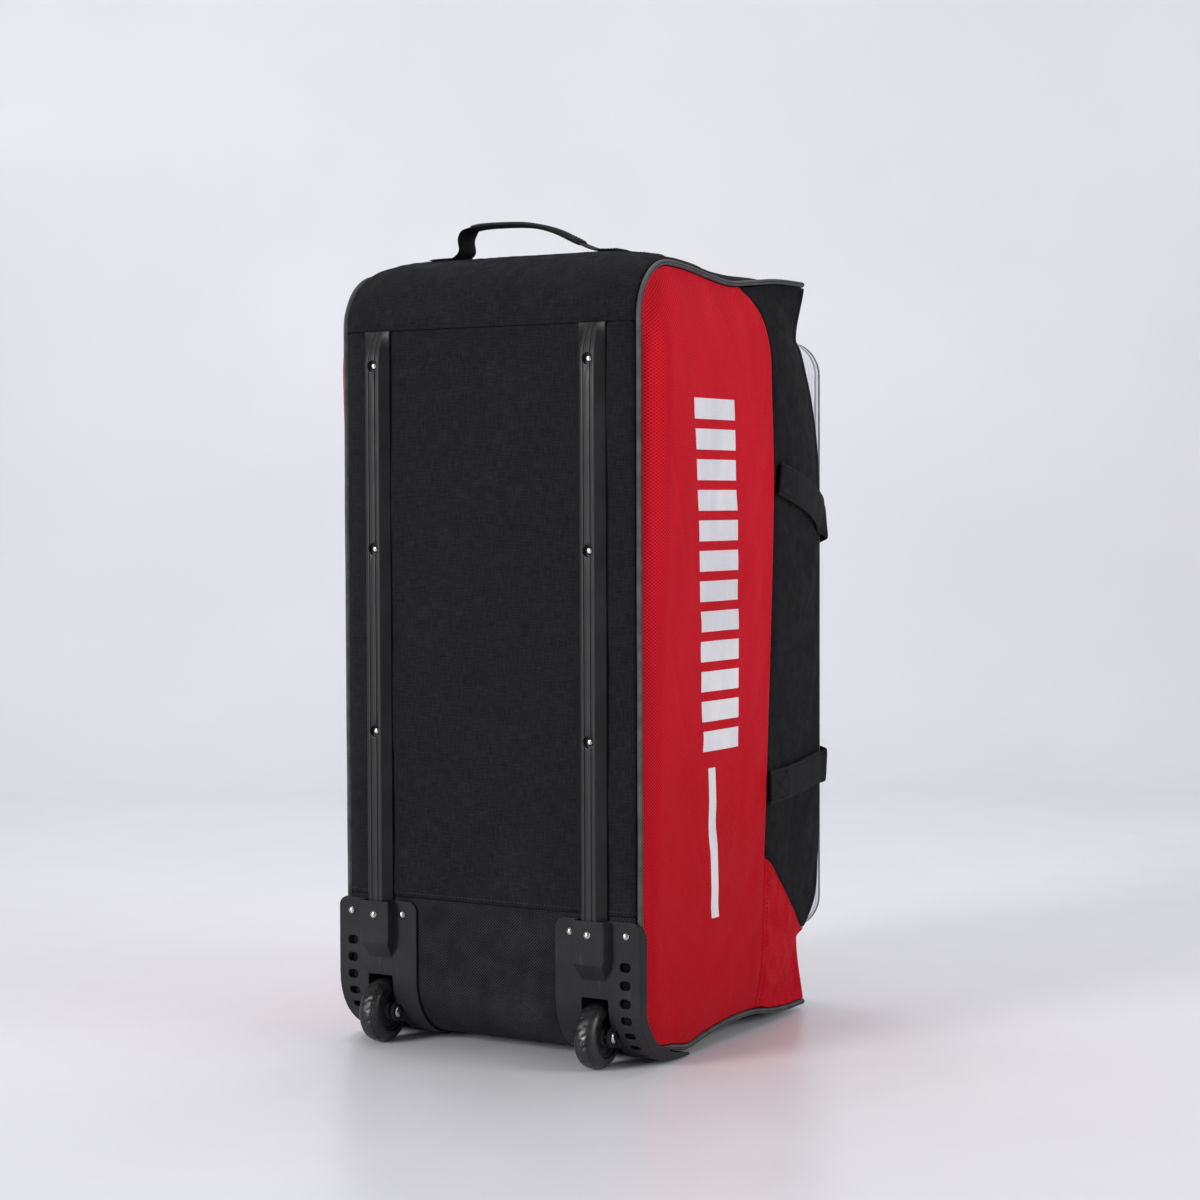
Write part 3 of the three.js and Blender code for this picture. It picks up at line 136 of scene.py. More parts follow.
FRONT_REACH = [(0, -0.17), (0.013, 0.17), (0.059, 0.69), (0.124, 0.83), (0.19, 0.91), (0.31, 0.91),
               (0.733, 0.91), (0.817, 0.83), (0.9, 0.55), (0.95, 0.26), (0.981, 0.05), (1, -0.17)]
SPLIT_TO_FRONT = [(0, 0), (0.051, 0.043), (0.1, 0.104), (0.28, 0.277), (0.455, 0.475), (0.63, 0.672),
                  (0.719, 0.75), (0.806, 0.828), (0.859, 0.874), (0.91, 0.903), (0.958, 0.921),
                  (0.984, 0.961), (1, 1)]
SLANT_DROP = [(0, 0), (0.34, 0.31), (0.7, 0.71), (1, 1)]
SLANT_END = 0.013
HANDLE_LINE = [(-0.5, 0), (-0.43, 0), (-0.37, 0.02), (-0.336, 0.22), (-0.34, 0.62), (-0.318, 0.88),
               (-0.27, 0.98), (-0.125, 1), (0.025, 0.93), (0.146, 0.72), (0.238, 0.44), (0.31, 0.2),
               (0.38, 0.03), (0.43, 0), (0.5, 0)]
# Carry handle: depth, height, place across, and 0 on the side or 1 on the lid
STRAP_LINE = [
    (0.62, 0.768, 1, 0), (0.72, 0.754, 1, 0), (0.83, 0.736, 1, 0), (0.93, 0.716, 1, 0),
    (0.98, 0.703, 1, 0), (1, 0.694, 1, 0.5), (1, 0.683, 0.93, 1), (1, 0.663, 0.83, 1),
    (1, 0.625, 0.72, 1), (1, 0.57, 0.655, 1), (1, 0.48, 0.63, 1), (1, 0.39, 0.655, 1),
    (1, 0.34, 0.72, 1), (1, 0.306, 0.83, 1), (1, 0.29, 0.93, 1), (1, 0.282, 1, 0.5),
    (0.98, 0.28, 1, 0), (0.93, 0.28, 1, 0), (0.83, 0.274, 1, 0), (0.72, 0.27, 1, 0), (0.62, 0.268, 1, 0),
]

# From the bag's own lines to the frame: metres, with the depth that the frame has
DEPTH_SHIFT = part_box("back_panel")[0].y * 1000 - CLOTH_BACK


def to_frame(points):
    placed = np.array(points, float)
    placed[..., 1] += DEPTH_SHIFT
    return placed / 1000


# ---- Camera ----

CAMERA_YAW, CAMERA_PITCH, CAMERA_ROLL = (math.radians(angle) for angle in (30.70, -2.27, -0.20))
CAMERA_PLACE = (1.490, -2.263, 0.599)
SENSOR, PHOTO_WIDE, FOCAL_LENGTH = 36, 1200, 2526


def set_up_camera():
    yaw, pitch, roll = CAMERA_YAW, CAMERA_PITCH, CAMERA_ROLL
    ahead = Vector((-math.sin(yaw) * math.cos(pitch), math.cos(yaw) * math.cos(pitch), math.sin(pitch)))
    right = Vector((math.cos(yaw), math.sin(yaw), 0))
    up = right.cross(ahead)
    across = math.cos(roll) * right + math.sin(roll) * up
    over = -math.sin(roll) * right + math.cos(roll) * up
    data = bpy.data.cameras.new("camera")
    data.sensor_width = SENSOR
    data.lens = SENSOR * FOCAL_LENGTH / PHOTO_WIDE
    camera = bpy.data.objects.new("camera", data)
    bpy.context.scene.collection.objects.link(camera)
    turn = Matrix((across, over, -ahead)).transposed().to_4x4()
    camera.matrix_world = Matrix.Translation((0, DEPTH_SHIFT / 1000, 0)) @ Matrix.Translation(CAMERA_PLACE) @ turn
    bpy.context.scene.camera = camera


set_up_camera()


# ---- Lines and surfaces of the bag, in millimetres ----

def lerp(a, b, share):
    return a + (b - a) * share


def ease(share):
    s = np.clip(share, 0, 1)
    return s * s * (3 - 2 * s)


def swell(distance, width):
    return 1 - (1 - np.clip(distance / width, 0, 1)) ** 2


def leg(longer, side):
    return np.sqrt(np.maximum(longer ** 2 - np.asarray(side, float) ** 2, 0))


def read_line(table, at):
    knots, values = np.array(table, float).T
    at = np.asarray(at, float)
    row = np.searchsorted(knots[1:-1], at, side="left")
    steps = np.diff(values)
    middle = (values[2:] - values[:-2]) / (knots[2:] - knots[:-2])
    slope = np.zeros(len(knots))
    slope[1:-1] = np.where(steps[:-1] * steps[1:] > 0, middle, 0)
    span = knots[row + 1] - knots[row]
    s = np.clip((at - knots[row]) / span, 0, 1)
    near = (2 * s ** 3 - 3 * s ** 2 + 1) * values[row] + (s ** 3 - 2 * s ** 2 + s) * span * slope[row]
    far = (3 * s ** 2 - 2 * s ** 3) * values[row + 1] + (s ** 3 - s ** 2) * span * slope[row + 1]
    return near + far


def top_seam_z(y):
    return TOP_SEAM - TOP_SAG * read_line(TOP_SEAM_SAG, (y - TOP_CORNER_Y) / (FRONT_SEAM - TOP_CORNER_Y))


def foot_seam_z(y):
    return FOOT_SEAM + FOOT_LIFT * read_line(FOOT_SEAM_LIFT, (y - CORNER_Y) / (FRONT_SEAM - CORNER_Y))


def top_middle_z(y):
    front = TOP_SEAM - TOP_SAG * TOP_SEAM_SAG[-1][1]
    return front + TOP_CROWN * read_line(CROWN_RISE, (y - TOP_CORNER_Y) / (FRONT_SEAM - TOP_CORNER_Y))


def foot_middle_z(y):
    heel = CORNER_Z - CLOTH_CORNER
    seat = GUARD_TIP + GUARD_PLATE + GAP
    end = FRONT_SEAM - PIPING - GAP
    heel_line = lerp(heel, seat, (y - CORNER_Y) / (MESH_SEAM_Y - CORNER_Y))
    to_floor = seat * (1 - ease((y - MESH_SEAM_Y) / (FLOOR_START - MESH_SEAM_Y)))
    to_front = foot_seam_z(y) * ease((y - FLOOR_END) / (end - FLOOR_END))
    return np.where(y <= MESH_SEAM_Y, heel_line, np.where(y <= FLOOR_START, to_floor, to_front))


def back_seam_y(z):
    upper = TOP_CORNER_Y - leg(TOP_RADIUS, z - TOP_CORNER_Z)
    lower = CORNER_Y - leg(SEAM_CORNER, CORNER_Z - z)
    return np.where(z > TOP_CORNER_Z, upper, np.where(z < CORNER_Z, lower, SEAM_BACK))


def seam_top_z(y):
    return np.where(y >= TOP_CORNER_Y, top_seam_z(y), TOP_CORNER_Z + leg(TOP_RADIUS, TOP_CORNER_Y - y))


def seam_foot_z(y):
    return np.where(y >= CORNER_Y, foot_seam_z(y), CORNER_Z - leg(SEAM_CORNER, CORNER_Y - y))


def front_edge_y(z):
    at_seam = -(PIPING - WEBBING + 2 * GAP) / LID_STAND
    pinch = FRONT_REACH[0][1]
    under = lerp(at_seam, pinch, ease(z / LID_FOOT) ** 0.5)
    over = lerp(at_seam, pinch, ease((TOP_SEAM - z) / (TOP_SEAM - LID_HEAD)))
    beside = read_line(FRONT_REACH, (z - LID_FOOT) / LID_HEIGHT)
    return FRONT_SEAM + LID_STAND * np.where(z < LID_FOOT, under, np.where(z > LID_HEAD, over, beside))


def side_frame(y, z):
    start, end = FRONT_SEAM - FRONT_FALL, FRONT_SEAM - LID_WALL_DEPTH
    beside = np.minimum(ease(z / LID_FOOT), ease((TOP_SEAM - z) / (TOP_SEAM - LID_HEAD)))
    return HALF_SEAM - LID_TUCK * ease((y - start) / (end - start)) * beside


def side_x(y, z):
    full = SIDE_BULGE * read_line(SIDE_FULL, z / TOP_SEAM)
    rise = (swell(y - back_seam_y(z) - SIDE_INSET, BACK_RISE) * swell(seam_top_z(y) - SIDE_INSET - z, TOP_FALL)
            * swell(z - seam_foot_z(y) - SIDE_INSET, FOOT_FALL) * swell(front_edge_y(z) - y, FRONT_FALL))
    return side_frame(y, z) + full * rise


def split_y(z):
    share = z / PATCH_HEIGHT
    low = FRONT_SEAM * lerp(SPLIT_FOOT / FRONT_SEAM, SPLIT_DEPTH[0][1], share) + SPLIT_SHIFT * share
    head = float(seam_top_z(SPLIT_DEPTH[-1][1] * FRONT_SEAM)) - SIDE_INSET
    high = FRONT_SEAM * read_line(SPLIT_DEPTH, (z - PATCH_HEIGHT) / (head - PATCH_HEIGHT)) + SPLIT_SHIFT
    return np.where(z <= PATCH_HEIGHT, low, high)


def lid_face(x, z):
    across = np.minimum(np.abs(x) / (HALF_LID - LID_PIPE), 1)
    up = np.minimum(np.abs(z - LID_MIDDLE) / (LID_HEIGHT / 2 - LID_PIPE), 1)
    return LID_RIM + LID_DOME * (1 - across ** 4) * (1 - up ** 4)


def crown_shape(share, flat):
    past = np.maximum(share - flat, 0) / (1 - flat)
    return np.sqrt(np.maximum(1 - past ** 2.4, 0))


def point_pairs(y, z):
    return np.stack(np.broadcast_arrays(np.asarray(y, float), np.asarray(z, float)), -1)


def arc_pairs(y, z, radius, start, end, count=24):
    angle = np.linspace(start, end, count + 1)
    return point_pairs(y + radius * np.cos(angle), z + radius * np.sin(angle))


def unit(vectors):
    return vectors / np.maximum(np.linalg.norm(vectors, axis=-1, keepdims=True), 1e-9)


def travel_of(points):
    """How far along a line each of its points lies."""
    return np.concatenate([[0], np.cumsum(np.linalg.norm(np.diff(points, axis=0), axis=1))])


def read_rows(at, travel, rows):
    """Points or directions of a line, read at distances along it."""
    return np.stack([np.interp(at, travel, rows[:, k]) for k in range(rows.shape[1])], -1)


def along(points, share):
    travel = travel_of(points)
    return read_rows(np.asarray(share, float) * travel[-1], travel, points)


def loose_curve(points, shares):
    """Points of a smooth line through given points, at shares of their count."""
    knots = np.vstack([2 * points[0] - points[1], points, 2 * points[-1] - points[-2]])
    place = np.asarray(shares) * (len(points) - 1)
    k = np.minimum(place.astype(int), len(points) - 2)
    w = (place - k)[:, None]
    p0, p1, p2, p3 = (knots[k + step] for step in range(4))
    t0, t1, t2 = (np.maximum(np.linalg.norm(b - a, axis=1), 1e-6)[:, None] ** 0.5
                  for a, b in ((p0, p1), (p1, p2), (p2, p3)))
    m1 = ((p1 - p0) / t0 - (p2 - p0) / (t0 + t1) + (p2 - p1) / t1) * t1
    m2 = ((p2 - p1) / t1 - (p3 - p1) / (t1 + t2) + (p3 - p2) / t2) * t1
    return p1 + m1 * w + (-3 * p1 + 3 * p2 - 2 * m1 - m2) * w ** 2 + (2 * p1 - 2 * p2 + m1 + m2) * w ** 3


# ---- Cloth: grids, folds and walls ----

EDGE_STEPS = np.array([0, 0.5, 1.1, 1.8, 2.7, 3.9, 5.6, 7.6])


def spread(length, pitch=4.0):
    """Shares along a panel: close together by its seams, even between them."""
    reach = EDGE_STEPS[-1]
    count = max(round((length - 2 * reach) / pitch), 1)
    middle = np.linspace(reach, length - reach, count + 1)
    return np.concatenate([EDGE_STEPS[:-1], middle, length - EDGE_STEPS[:-1][::-1]]) / length


def patchwork_noise(u, v, seed):
    table = np.random.default_rng(seed).uniform(-1, 1, (64, 64))
    i, j = np.floor(u).astype(int), np.floor(v).astype(int)
    a, b = u - i, v - j
    a, b = a ** 3 * (a * (a * 6 - 15) + 10), b ** 3 * (b * (b * 6 - 15) + 10)

    def pick(di, dj):
        return table[(i + di) % 64, (j + dj) % 64]
    return lerp(lerp(pick(0, 0), pick(1, 0), a), lerp(pick(0, 1), pick(1, 1), a), b)


def creases(u, v, seed, sharp=5.0):
    return -(1 - np.abs(patchwork_noise(u, v, seed))) ** sharp


def edge_distances(points):
    def run(axis):
        step = np.linalg.norm(np.diff(points, axis=axis), axis=-1)
        pad = [(0, 0), (0, 0)]
        pad[axis] = (1, 0)
        way = np.cumsum(np.pad(step, pad), axis=axis)
        total = way.take([-1], axis=axis)
        return way, total - way
    left, right = run(1)
    foot, head = run(0)
    return left, right, foot, head


def grid_normals(points, outward):
    normal = unit(np.cross(np.gradient(points, axis=1), np.gradient(points, axis=0)))
    return normal * np.sign(np.sum(normal * outward, axis=-1).mean())


def pucker(edge, travel, seed, size=0.6, wave=17.0, reach=9.0):
    """Small gathers that a seam pulls into the cloth beside it."""
    phase = 2.4 * patchwork_noise(travel / 60, travel * 0 + 3, seed)
    strength = 0.55 + 0.45 * patchwork_noise(travel / 85, travel * 0 + 8, seed + 1)
    return size * strength * np.sin(2 * math.pi * travel / wave + phase) * np.exp(-edge / reach)


def roll_over(edge, depth=1.4, width=3.9):
    return -depth * np.clip(1 - edge / width, 0, 1) ** 2


def plain_mesh(name, vertices, faces, material, smooth_angle=None):
    mesh = bpy.data.meshes.new(name)
    mesh.from_pydata(np.asarray(vertices).tolist(), [], [list(map(int, f)) for f in faces])
    mesh.update()
    mesh.polygons.foreach_set("use_smooth", [True] * len(mesh.polygons))
    if smooth_angle:
        mesh.set_sharp_from_angle(angle=math.radians(smooth_angle))
    piece = bpy.data.objects.new(name, mesh)
    bpy.context.scene.collection.objects.link(piece)
    if material:
        mesh.materials.append(material)
    return piece


def write_uv(mesh, pairs):
    layer = mesh.uv_layers.new(name="weave")
    index = np.zeros(len(mesh.loops), np.int32)
    mesh.loops.foreach_get("vertex_index", index)
    layer.data.foreach_set("uv", pairs[index].astype(np.float32).ravel())


def quads_of(index):
    """Faces between the neighbouring rows and columns of a grid of vertex numbers."""
    return np.stack([index[:-1, :-1], index[:-1, 1:], index[1:, 1:], index[1:, :-1]], -1).reshape(-1, 4)


def signed_volume(vertices, quads):
    a, b, c, d = (vertices[quads[:, k]] for k in range(4))
    return np.sum(a * np.cross(b, c)) + np.sum(a * np.cross(c, d))


def wall_faces(rows, columns, around=False):
    count = rows * columns
    index = np.arange(count).reshape(rows, columns)
    if around:
        index = np.hstack([index, index[:, :1]])
    quads = [quads_of(index), count + quads_of(index)[:, [0, 3, 2, 1]]]

    def rim(line, back):
        one, two = (line[1:], line[:-1]) if back else (line[:-1], line[1:])
        quads.append(np.stack([one, two, two + count, one + count], -1))
    rim(index[0], True)
    rim(index[-1], False)
    if not around:
        rim(index[:, 0], False)
        rim(index[:, -1], True)
    return np.concatenate(quads)


def cloth_wall(name, outer, inner, uv, material, around=False):
    rows, columns = outer.shape[:2]
    quads = wall_faces(rows, columns, around)
    vertices = to_frame(np.concatenate([outer.reshape(-1, 3), inner.reshape(-1, 3)]))
    if signed_volume(vertices, quads) < 0:
        quads = quads[:, ::-1]
    piece = plain_mesh(name, vertices, quads, material, 60)
    pairs = np.asarray(uv, float).reshape(-1, 2) / 1000
    write_uv(piece.data, np.concatenate([pairs, pairs]))
    return piece


def sampled(values, places, axis):
    """Values of a grid at fractional places along one axis."""
    places = np.clip(places, 0, values.shape[axis] - 1)
    low = np.minimum(np.floor(places).astype(int), values.shape[axis] - 2)
    share = places - low
    shape = [1] * values.ndim
    shape[axis] = len(places)
    share = share.reshape(shape)
    return values.take(low, axis=axis) * (1 - share) + values.take(low + 1, axis=axis) * share


def simulated_cloth(vertices, shape, slack, pressure, frames=24):
    index = np.arange(len(vertices)).reshape(shape)
    pattern = plain_mesh("cloth_pattern", vertices, quads_of(index), None)
    rim = np.concatenate([index[0], index[-1], index[1:-1, 0], index[1:-1, -1]])
    pattern.vertex_groups.new(name="seam").add([int(i) for i in rim], 1.0, "REPLACE")
    cloth = pattern.modifiers.new("cloth", "CLOTH")
    settings = {"quality": 5, "mass": 0.25, "tension_stiffness": 15, "compression_stiffness": 15,
                "shear_stiffness": 6, "bending_stiffness": 0.8, "vertex_group_mass": "seam",
                "shrink_min": -slack, "use_pressure": True, "uniform_pressure_force": pressure}
    for key, value in settings.items():
        setattr(cloth.settings, key, value)
    cloth.collision_settings.use_collision = False
    cloth.collision_settings.use_self_collision = False
    cloth.point_cache.frame_start = 1
    cloth.point_cache.frame_end = frames
    scene = bpy.context.scene
    for frame in range(1, frames + 1):
        scene.frame_set(frame)
    settled = pattern.evaluated_get(bpy.context.evaluated_depsgraph_get()).data
    places = np.zeros(len(settled.vertices) * 3)
    settled.vertices.foreach_get("co", places)
    mesh = pattern.data
    bpy.data.objects.remove(pattern)
    bpy.data.meshes.remove(mesh)
    scene.frame_set(1)
    return places.reshape(-1, 3)


class Panel:
    """A sewn panel: its grid of points, the way out of the bag, and its lengths from each seam.

    Its seams are l, r, f and h: the left, the right, the foot and the head of the grid.
    """

    def __init__(self, points, outward, uv):
        self.points = points
        self.normal = grid_normals(points, np.array(outward, float))
        self.uv = uv
        self.runs = dict(zip("lrfh", edge_distances(points)))
        self.edge = np.minimum.reduce(list(self.runs.values()))
        self.shape = self.points + 0

    def push(self, field):
        self.shape = self.shape + self.normal * field[..., None]

    def fold(self, field, fade=14.0):
        self.push(field * ease(self.edge / fade))

    def slump(self, slack, cap, pressure=0.4, pitch=9.0):
        """Cloth simulation: a coarse copy held along its seams, a little too large, buckles into folds."""
        rows, columns = self.edge.shape
        picks = []
        for run, count in ((self.runs["f"][:, columns // 2], rows), (self.runs["l"][rows // 2], columns)):
            steps = np.linspace(0, run[-1], max(int(run[-1] / pitch), 8))
            picks.append(np.interp(steps, run, np.arange(count)))
        coarse, normal = (sampled(sampled(grid, picks[0], 0), picks[1], 1) for grid in (self.shape, self.normal))
        before = to_frame(coarse.reshape(-1, 3))
        after = simulated_cloth(before, coarse.shape[:2], slack, pressure)
        field = np.sum(((after - before) * 1000).reshape(coarse.shape) * normal, axis=-1)
        field = cap * np.tanh(field / cap)
        for axis, pick, count in ((0, picks[0], rows), (1, picks[1], columns)):
            field = sampled(field, np.interp(np.arange(count), pick, np.arange(len(pick))), axis)
        for axis in (0, 1, 0, 1):
            inner = tuple(slice(1, -1) if k == axis else slice(None) for k in (0, 1))
            smooth = (np.roll(field, 1, axis) + np.roll(field, -1, axis) + 2 * field) / 4
            field[inner] = smooth[inner]
        self.push(field * ease(self.edge / 12))

    def hold_down(self, most):
        """Keeps folds from standing further out than a strap that lies over them."""
        rise = np.sum((self.shape - self.points) * self.normal, axis=-1)
        self.push(np.where(rise > 0, most * np.tanh(rise / most), rise) - rise)

    def gather(self, seed, sides="lrfh", size=0.6, wave=17.0):
        for step, side in enumerate(sides):
            edge, travel = self.runs[side], self.runs["f" if side in "lr" else "l"]
            self.push(pucker(edge, travel, seed + 7 * step, size, wave) * ease(edge / 2.5))

    def roll(self, sides="lrfh", depth=1.4):
        self.push(roll_over(np.minimum.reduce([self.runs[side] for side in sides]), depth))

    def sewn(self, name, material, wall=CLOTH):
        return cloth_wall(name, self.shape, self.points - self.normal * wall, self.uv, material)

    def line(self, side, inset):
        """Points and outward directions at a distance from one seam."""
        grids = [self.runs[side], self.shape, self.normal]
        if side in "fh":
            grids = [grid.swapaxes(0, 1) for grid in grids]
        if side in "rh":
            grids = [grid[:, ::-1] for grid in grids]
        edge, *read = grids
        return [np.array([read_rows(inset, e, row) for e, row in zip(edge, rows)]) for rows in read]


# ---- Node helpers ----

def give(tree, socket, value):
    if isinstance(value, bpy.types.NodeSocket):
        tree.links.new(value, socket)
    else:
        socket.default_value = value


def put(tree, kind, inputs=None, **settings):
    """A node with its settings, and with its inputs given as values or linked from sockets."""
    node = tree.nodes.new(kind)
    for key, value in settings.items():
        setattr(node, key, value)
    for key, value in (inputs or {}).items():
        give(tree, node.inputs[key], value)
    return node


def calc(tree, operation, a, b=0.0, c=0.0):
    return put(tree, "ShaderNodeMath", {0: a, 1: b, 2: c}, operation=operation).outputs[0]


def ramp(tree, value, low, high, start=0.0, end=1.0):
    inputs = {"Value": value, "From Min": low, "From Max": high, "To Min": start, "To Max": end}
    return put(tree, "ShaderNodeMapRange", inputs, interpolation_type="SMOOTHSTEP").outputs[0]


def tint(tree, share, a, b):
    return put(tree, "ShaderNodeMix", {0: share, 6: a, 7: b}, data_type="RGBA").outputs[2]


def shade(red, green, blue):
    """A screen colour from 0 to 255 as the linear colour that nodes take."""
    def linear(c):
        c = c / 255
        return c / 12.92 if c <= 0.04045 else ((c + 0.055) / 1.055) ** 2.4
    return (linear(red), linear(green), linear(blue), 1.0)


def group_of(name, inputs, outputs):
    tree = bpy.data.node_groups.new(name, "ShaderNodeTree")
    kinds = {"value": "NodeSocketFloat", "vector": "NodeSocketVector"}
    for label, kind, start in inputs:
        socket = tree.interface.new_socket(label, in_out="INPUT", socket_type=kinds[kind])
        if start is not None:
            socket.default_value = start
    for label in outputs:
        tree.interface.new_socket(label, in_out="OUTPUT", socket_type="NodeSocketFloat")
    return tree, put(tree, "NodeGroupInput"), put(tree, "NodeGroupOutput")


def woven_threads():
    """Plain weave: threads that pass over and under each other, a little uneven."""
    tree, given, made = group_of("woven_threads", [
        ("Vector", "vector", None), ("Thread Pitch", "value", 0.0006), ("Unevenness", "value", 0.3),
    ], ["Height", "Tone"])
    across = put(tree, "ShaderNodeSeparateXYZ", {0: given.outputs[0]})
    waves = []
    for k in (0, 1):
        turns = calc(tree, "MULTIPLY", calc(tree, "DIVIDE", across.outputs[k], given.outputs[1]), math.pi)
        waves.append(calc(tree, "SINE", turns))
    over = calc(tree, "GREATER_THAN", calc(tree, "MULTIPLY", waves[0], waves[1]), 0.0)
    heights = [calc(tree, "ABSOLUTE", w) for w in waves]
    weave = put(tree, "ShaderNodeMix", {0: over, 2: heights[0], 3: heights[1]}).outputs[0]
    yarns = []
    for scale in ((0.09, 1, 1), (1, 0.09, 1)):
        run = put(tree, "ShaderNodeMapping", {"Vector": given.outputs[0], "Scale": scale}).outputs[0]
        yarns.append(put(tree, "ShaderNodeTexNoise", {"Vector": run, "Scale": 760.0, "Detail": 3.0}).outputs[0])
    slubs = put(tree, "ShaderNodeMix", {0: over, 2: yarns[0], 3: yarns[1]}).outputs[0]
    uneven = calc(tree, "MULTIPLY", calc(tree, "SUBTRACT", slubs, 0.5), given.outputs[2])
    tree.links.new(calc(tree, "MULTIPLY_ADD", uneven, 1.6, weave), made.inputs[0])
    both = calc(tree, "MULTIPLY", calc(tree, "ADD", yarns[0], yarns[1]), 0.5)
    tree.links.new(both, made.inputs[1])
    return tree


def knitted_mesh():
    """Open sports mesh: small diamond cells, dark where they are open."""
    tree, given, made = group_of("knitted_mesh", [
        ("Vector", "vector", None), ("Cell", "value", 0.003), ("Opening", "value", 0.6),
    ], ["Height", "Hole"])
    across = put(tree, "ShaderNodeSeparateXYZ", {0: given.outputs[0]})
    u = calc(tree, "DIVIDE", across.outputs[0], given.outputs[1])
    v = calc(tree, "DIVIDE", across.outputs[1], given.outputs[1])
    slants = [calc(tree, way, u, v) for way in ("ADD", "SUBTRACT")]
    swings = [calc(tree, "ABSOLUTE", calc(tree, "SINE", calc(tree, "MULTIPLY", w, math.pi))) for w in slants]
    cell = calc(tree, "MULTIPLY", *swings)
    hole = ramp(tree, cell, calc(tree, "SUBTRACT", given.outputs[2], 0.18), calc(tree, "ADD", given.outputs[2], 0.14))
    tree.links.new(calc(tree, "SUBTRACT", 1.0, cell), made.inputs[0])
    tree.links.new(hole, made.inputs[1])
    return tree


def webbing_ribs():
    """Herringbone ribs along a strap; its own map runs along the strap and across it."""
    tree, given, made = group_of("webbing_ribs", [
        ("Vector", "vector", None), ("Rib Pitch", "value", 0.0016), ("Column", "value", 0.0048),
    ], ["Height", "Tone"])
    across = put(tree, "ShaderNodeSeparateXYZ", {0: given.outputs[0]})
    slant = calc(tree, "PINGPONG", across.outputs[1], given.outputs[2])
    place = calc(tree, "DIVIDE", calc(tree, "ADD", across.outputs[0], slant), given.outputs[1])
    rib = calc(tree, "ABSOLUTE", calc(tree, "SINE", calc(tree, "MULTIPLY", place, math.pi)))
    column = calc(tree, "ABSOLUTE", calc(tree, "SINE", calc(tree, "MULTIPLY", calc(
        tree, "DIVIDE", across.outputs[1], given.outputs[2]), math.pi)))
    furrow = ramp(tree, column, 0.0, 0.35)
    tree.links.new(calc(tree, "MULTIPLY", rib, furrow), made.inputs[0])
    fuzz = put(tree, "ShaderNodeTexNoise", {"Vector": given.outputs[0], "Scale": 160.0, "Detail": 3.0}).outputs[0]
    tree.links.new(fuzz, made.inputs[1])
    return tree


def moulded_grain():
    """Fine spark-eroded grain of moulded plastic and rubber, with soft flow marks."""
    tree, given, made = group_of("moulded_grain", [
        ("Vector", "vector", None), ("Grain", "value", 1100.0), ("Flow", "value", 26.0),
    ], ["Height", "Tone"])
    fine = put(tree, "ShaderNodeTexNoise", {"Vector": given.outputs[0], "Scale": given.outputs[1], "Detail": 2.0})
    cells = put(tree, "ShaderNodeTexVoronoi", {"Vector": given.outputs[0], "Scale": given.outputs[1]})
    height = calc(tree, "MULTIPLY_ADD", cells.outputs["Distance"], 0.6, fine.outputs[0])
    tree.links.new(height, made.inputs[0])
    flow = put(tree, "ShaderNodeTexNoise", {"Vector": given.outputs[0], "Scale": given.outputs[2], "Detail": 5.0})
    tree.links.new(flow.outputs[0], made.inputs[1])
    return tree


def settled_dust():
    """Patchy pale dust that gathers low on the bag and where it is handled or dragged."""
    tree, given, made = group_of("settled_dust", [
        ("Vector", "vector", None), ("High", "value", 0.25), ("Amount", "value", 0.3),
    ], ["Mask"])
    across = put(tree, "ShaderNodeSeparateXYZ", {0: given.outputs[0]})
    height = ramp(tree, across.outputs[2], 0.0, given.outputs[1], 1.0, 0.15)
    cloud = put(tree, "ShaderNodeTexNoise", {"Vector": given.outputs[0], "Scale": 14.0, "Detail": 6.0}).outputs[0]
    specks = put(tree, "ShaderNodeTexNoise", {"Vector": given.outputs[0], "Scale": 240.0, "Detail": 2.0}).outputs[0]
    patches = calc(tree, "MULTIPLY", ramp(tree, cloud, 0.42, 0.72), ramp(tree, specks, 0.3, 0.7, 0.4, 1.0))
    mask = calc(tree, "MULTIPLY", calc(tree, "MULTIPLY", patches, height), given.outputs[2])
    tree.links.new(mask, made.inputs[0])
    return tree


WOVEN, KNITTED, RIBBED = woven_threads(), knitted_mesh(), webbing_ribs()
GRAIN, DUST = moulded_grain(), settled_dust()


class Finish:
    """A material around one Principled shader, with the maps that its colour and relief use."""

    def __init__(self, name, roughness, metallic=0.0, sheen=0.0, specular=0.5):
        self.material = bpy.data.materials.new(name)
        self.material.use_nodes = True
        self.tree = self.material.node_tree
        self.tree.nodes.clear()
        self.shader = put(self.tree, "ShaderNodeBsdfPrincipled", {
            "Roughness": roughness, "Metallic": metallic, "Sheen Weight": sheen, "Sheen Roughness": 0.45,
            "Specular IOR Level": specular})
        output = put(self.tree, "ShaderNodeOutputMaterial")
        self.tree.links.new(self.shader.outputs[0], output.inputs[0])
        self.place = put(self.tree, "ShaderNodeTexCoord").outputs["Object"]
        self.map = put(self.tree, "ShaderNodeUVMap", uv_map="weave").outputs[0]

    def effect(self, tree, inputs):
        return put(self.tree, "ShaderNodeGroup", inputs, node_tree=tree).outputs

    def noise(self, vector, scale, detail=4.0):
        return put(self.tree, "ShaderNodeTexNoise", {"Vector": vector, "Scale": scale, "Detail": detail}).outputs[0]

    def streaks(self, vector, stretch, scale, detail):
        longer = put(self.tree, "ShaderNodeMapping", {"Vector": vector, "Scale": stretch}).outputs[0]
        return self.noise(longer, scale, detail)

    def relief(self, height, distance, strength=1.0, under=None):
        inputs = {"Height": height, "Distance": distance, "Strength": strength}
        if under is not None:
            inputs["Normal"] = under
        return put(self.tree, "ShaderNodeBump", inputs).outputs[0]

    def set(self, **links):
        for key, value in links.items():
            give(self.tree, self.shader.inputs[key.replace("_", " ")], value)
        return self.material


# ---- Finishes ----

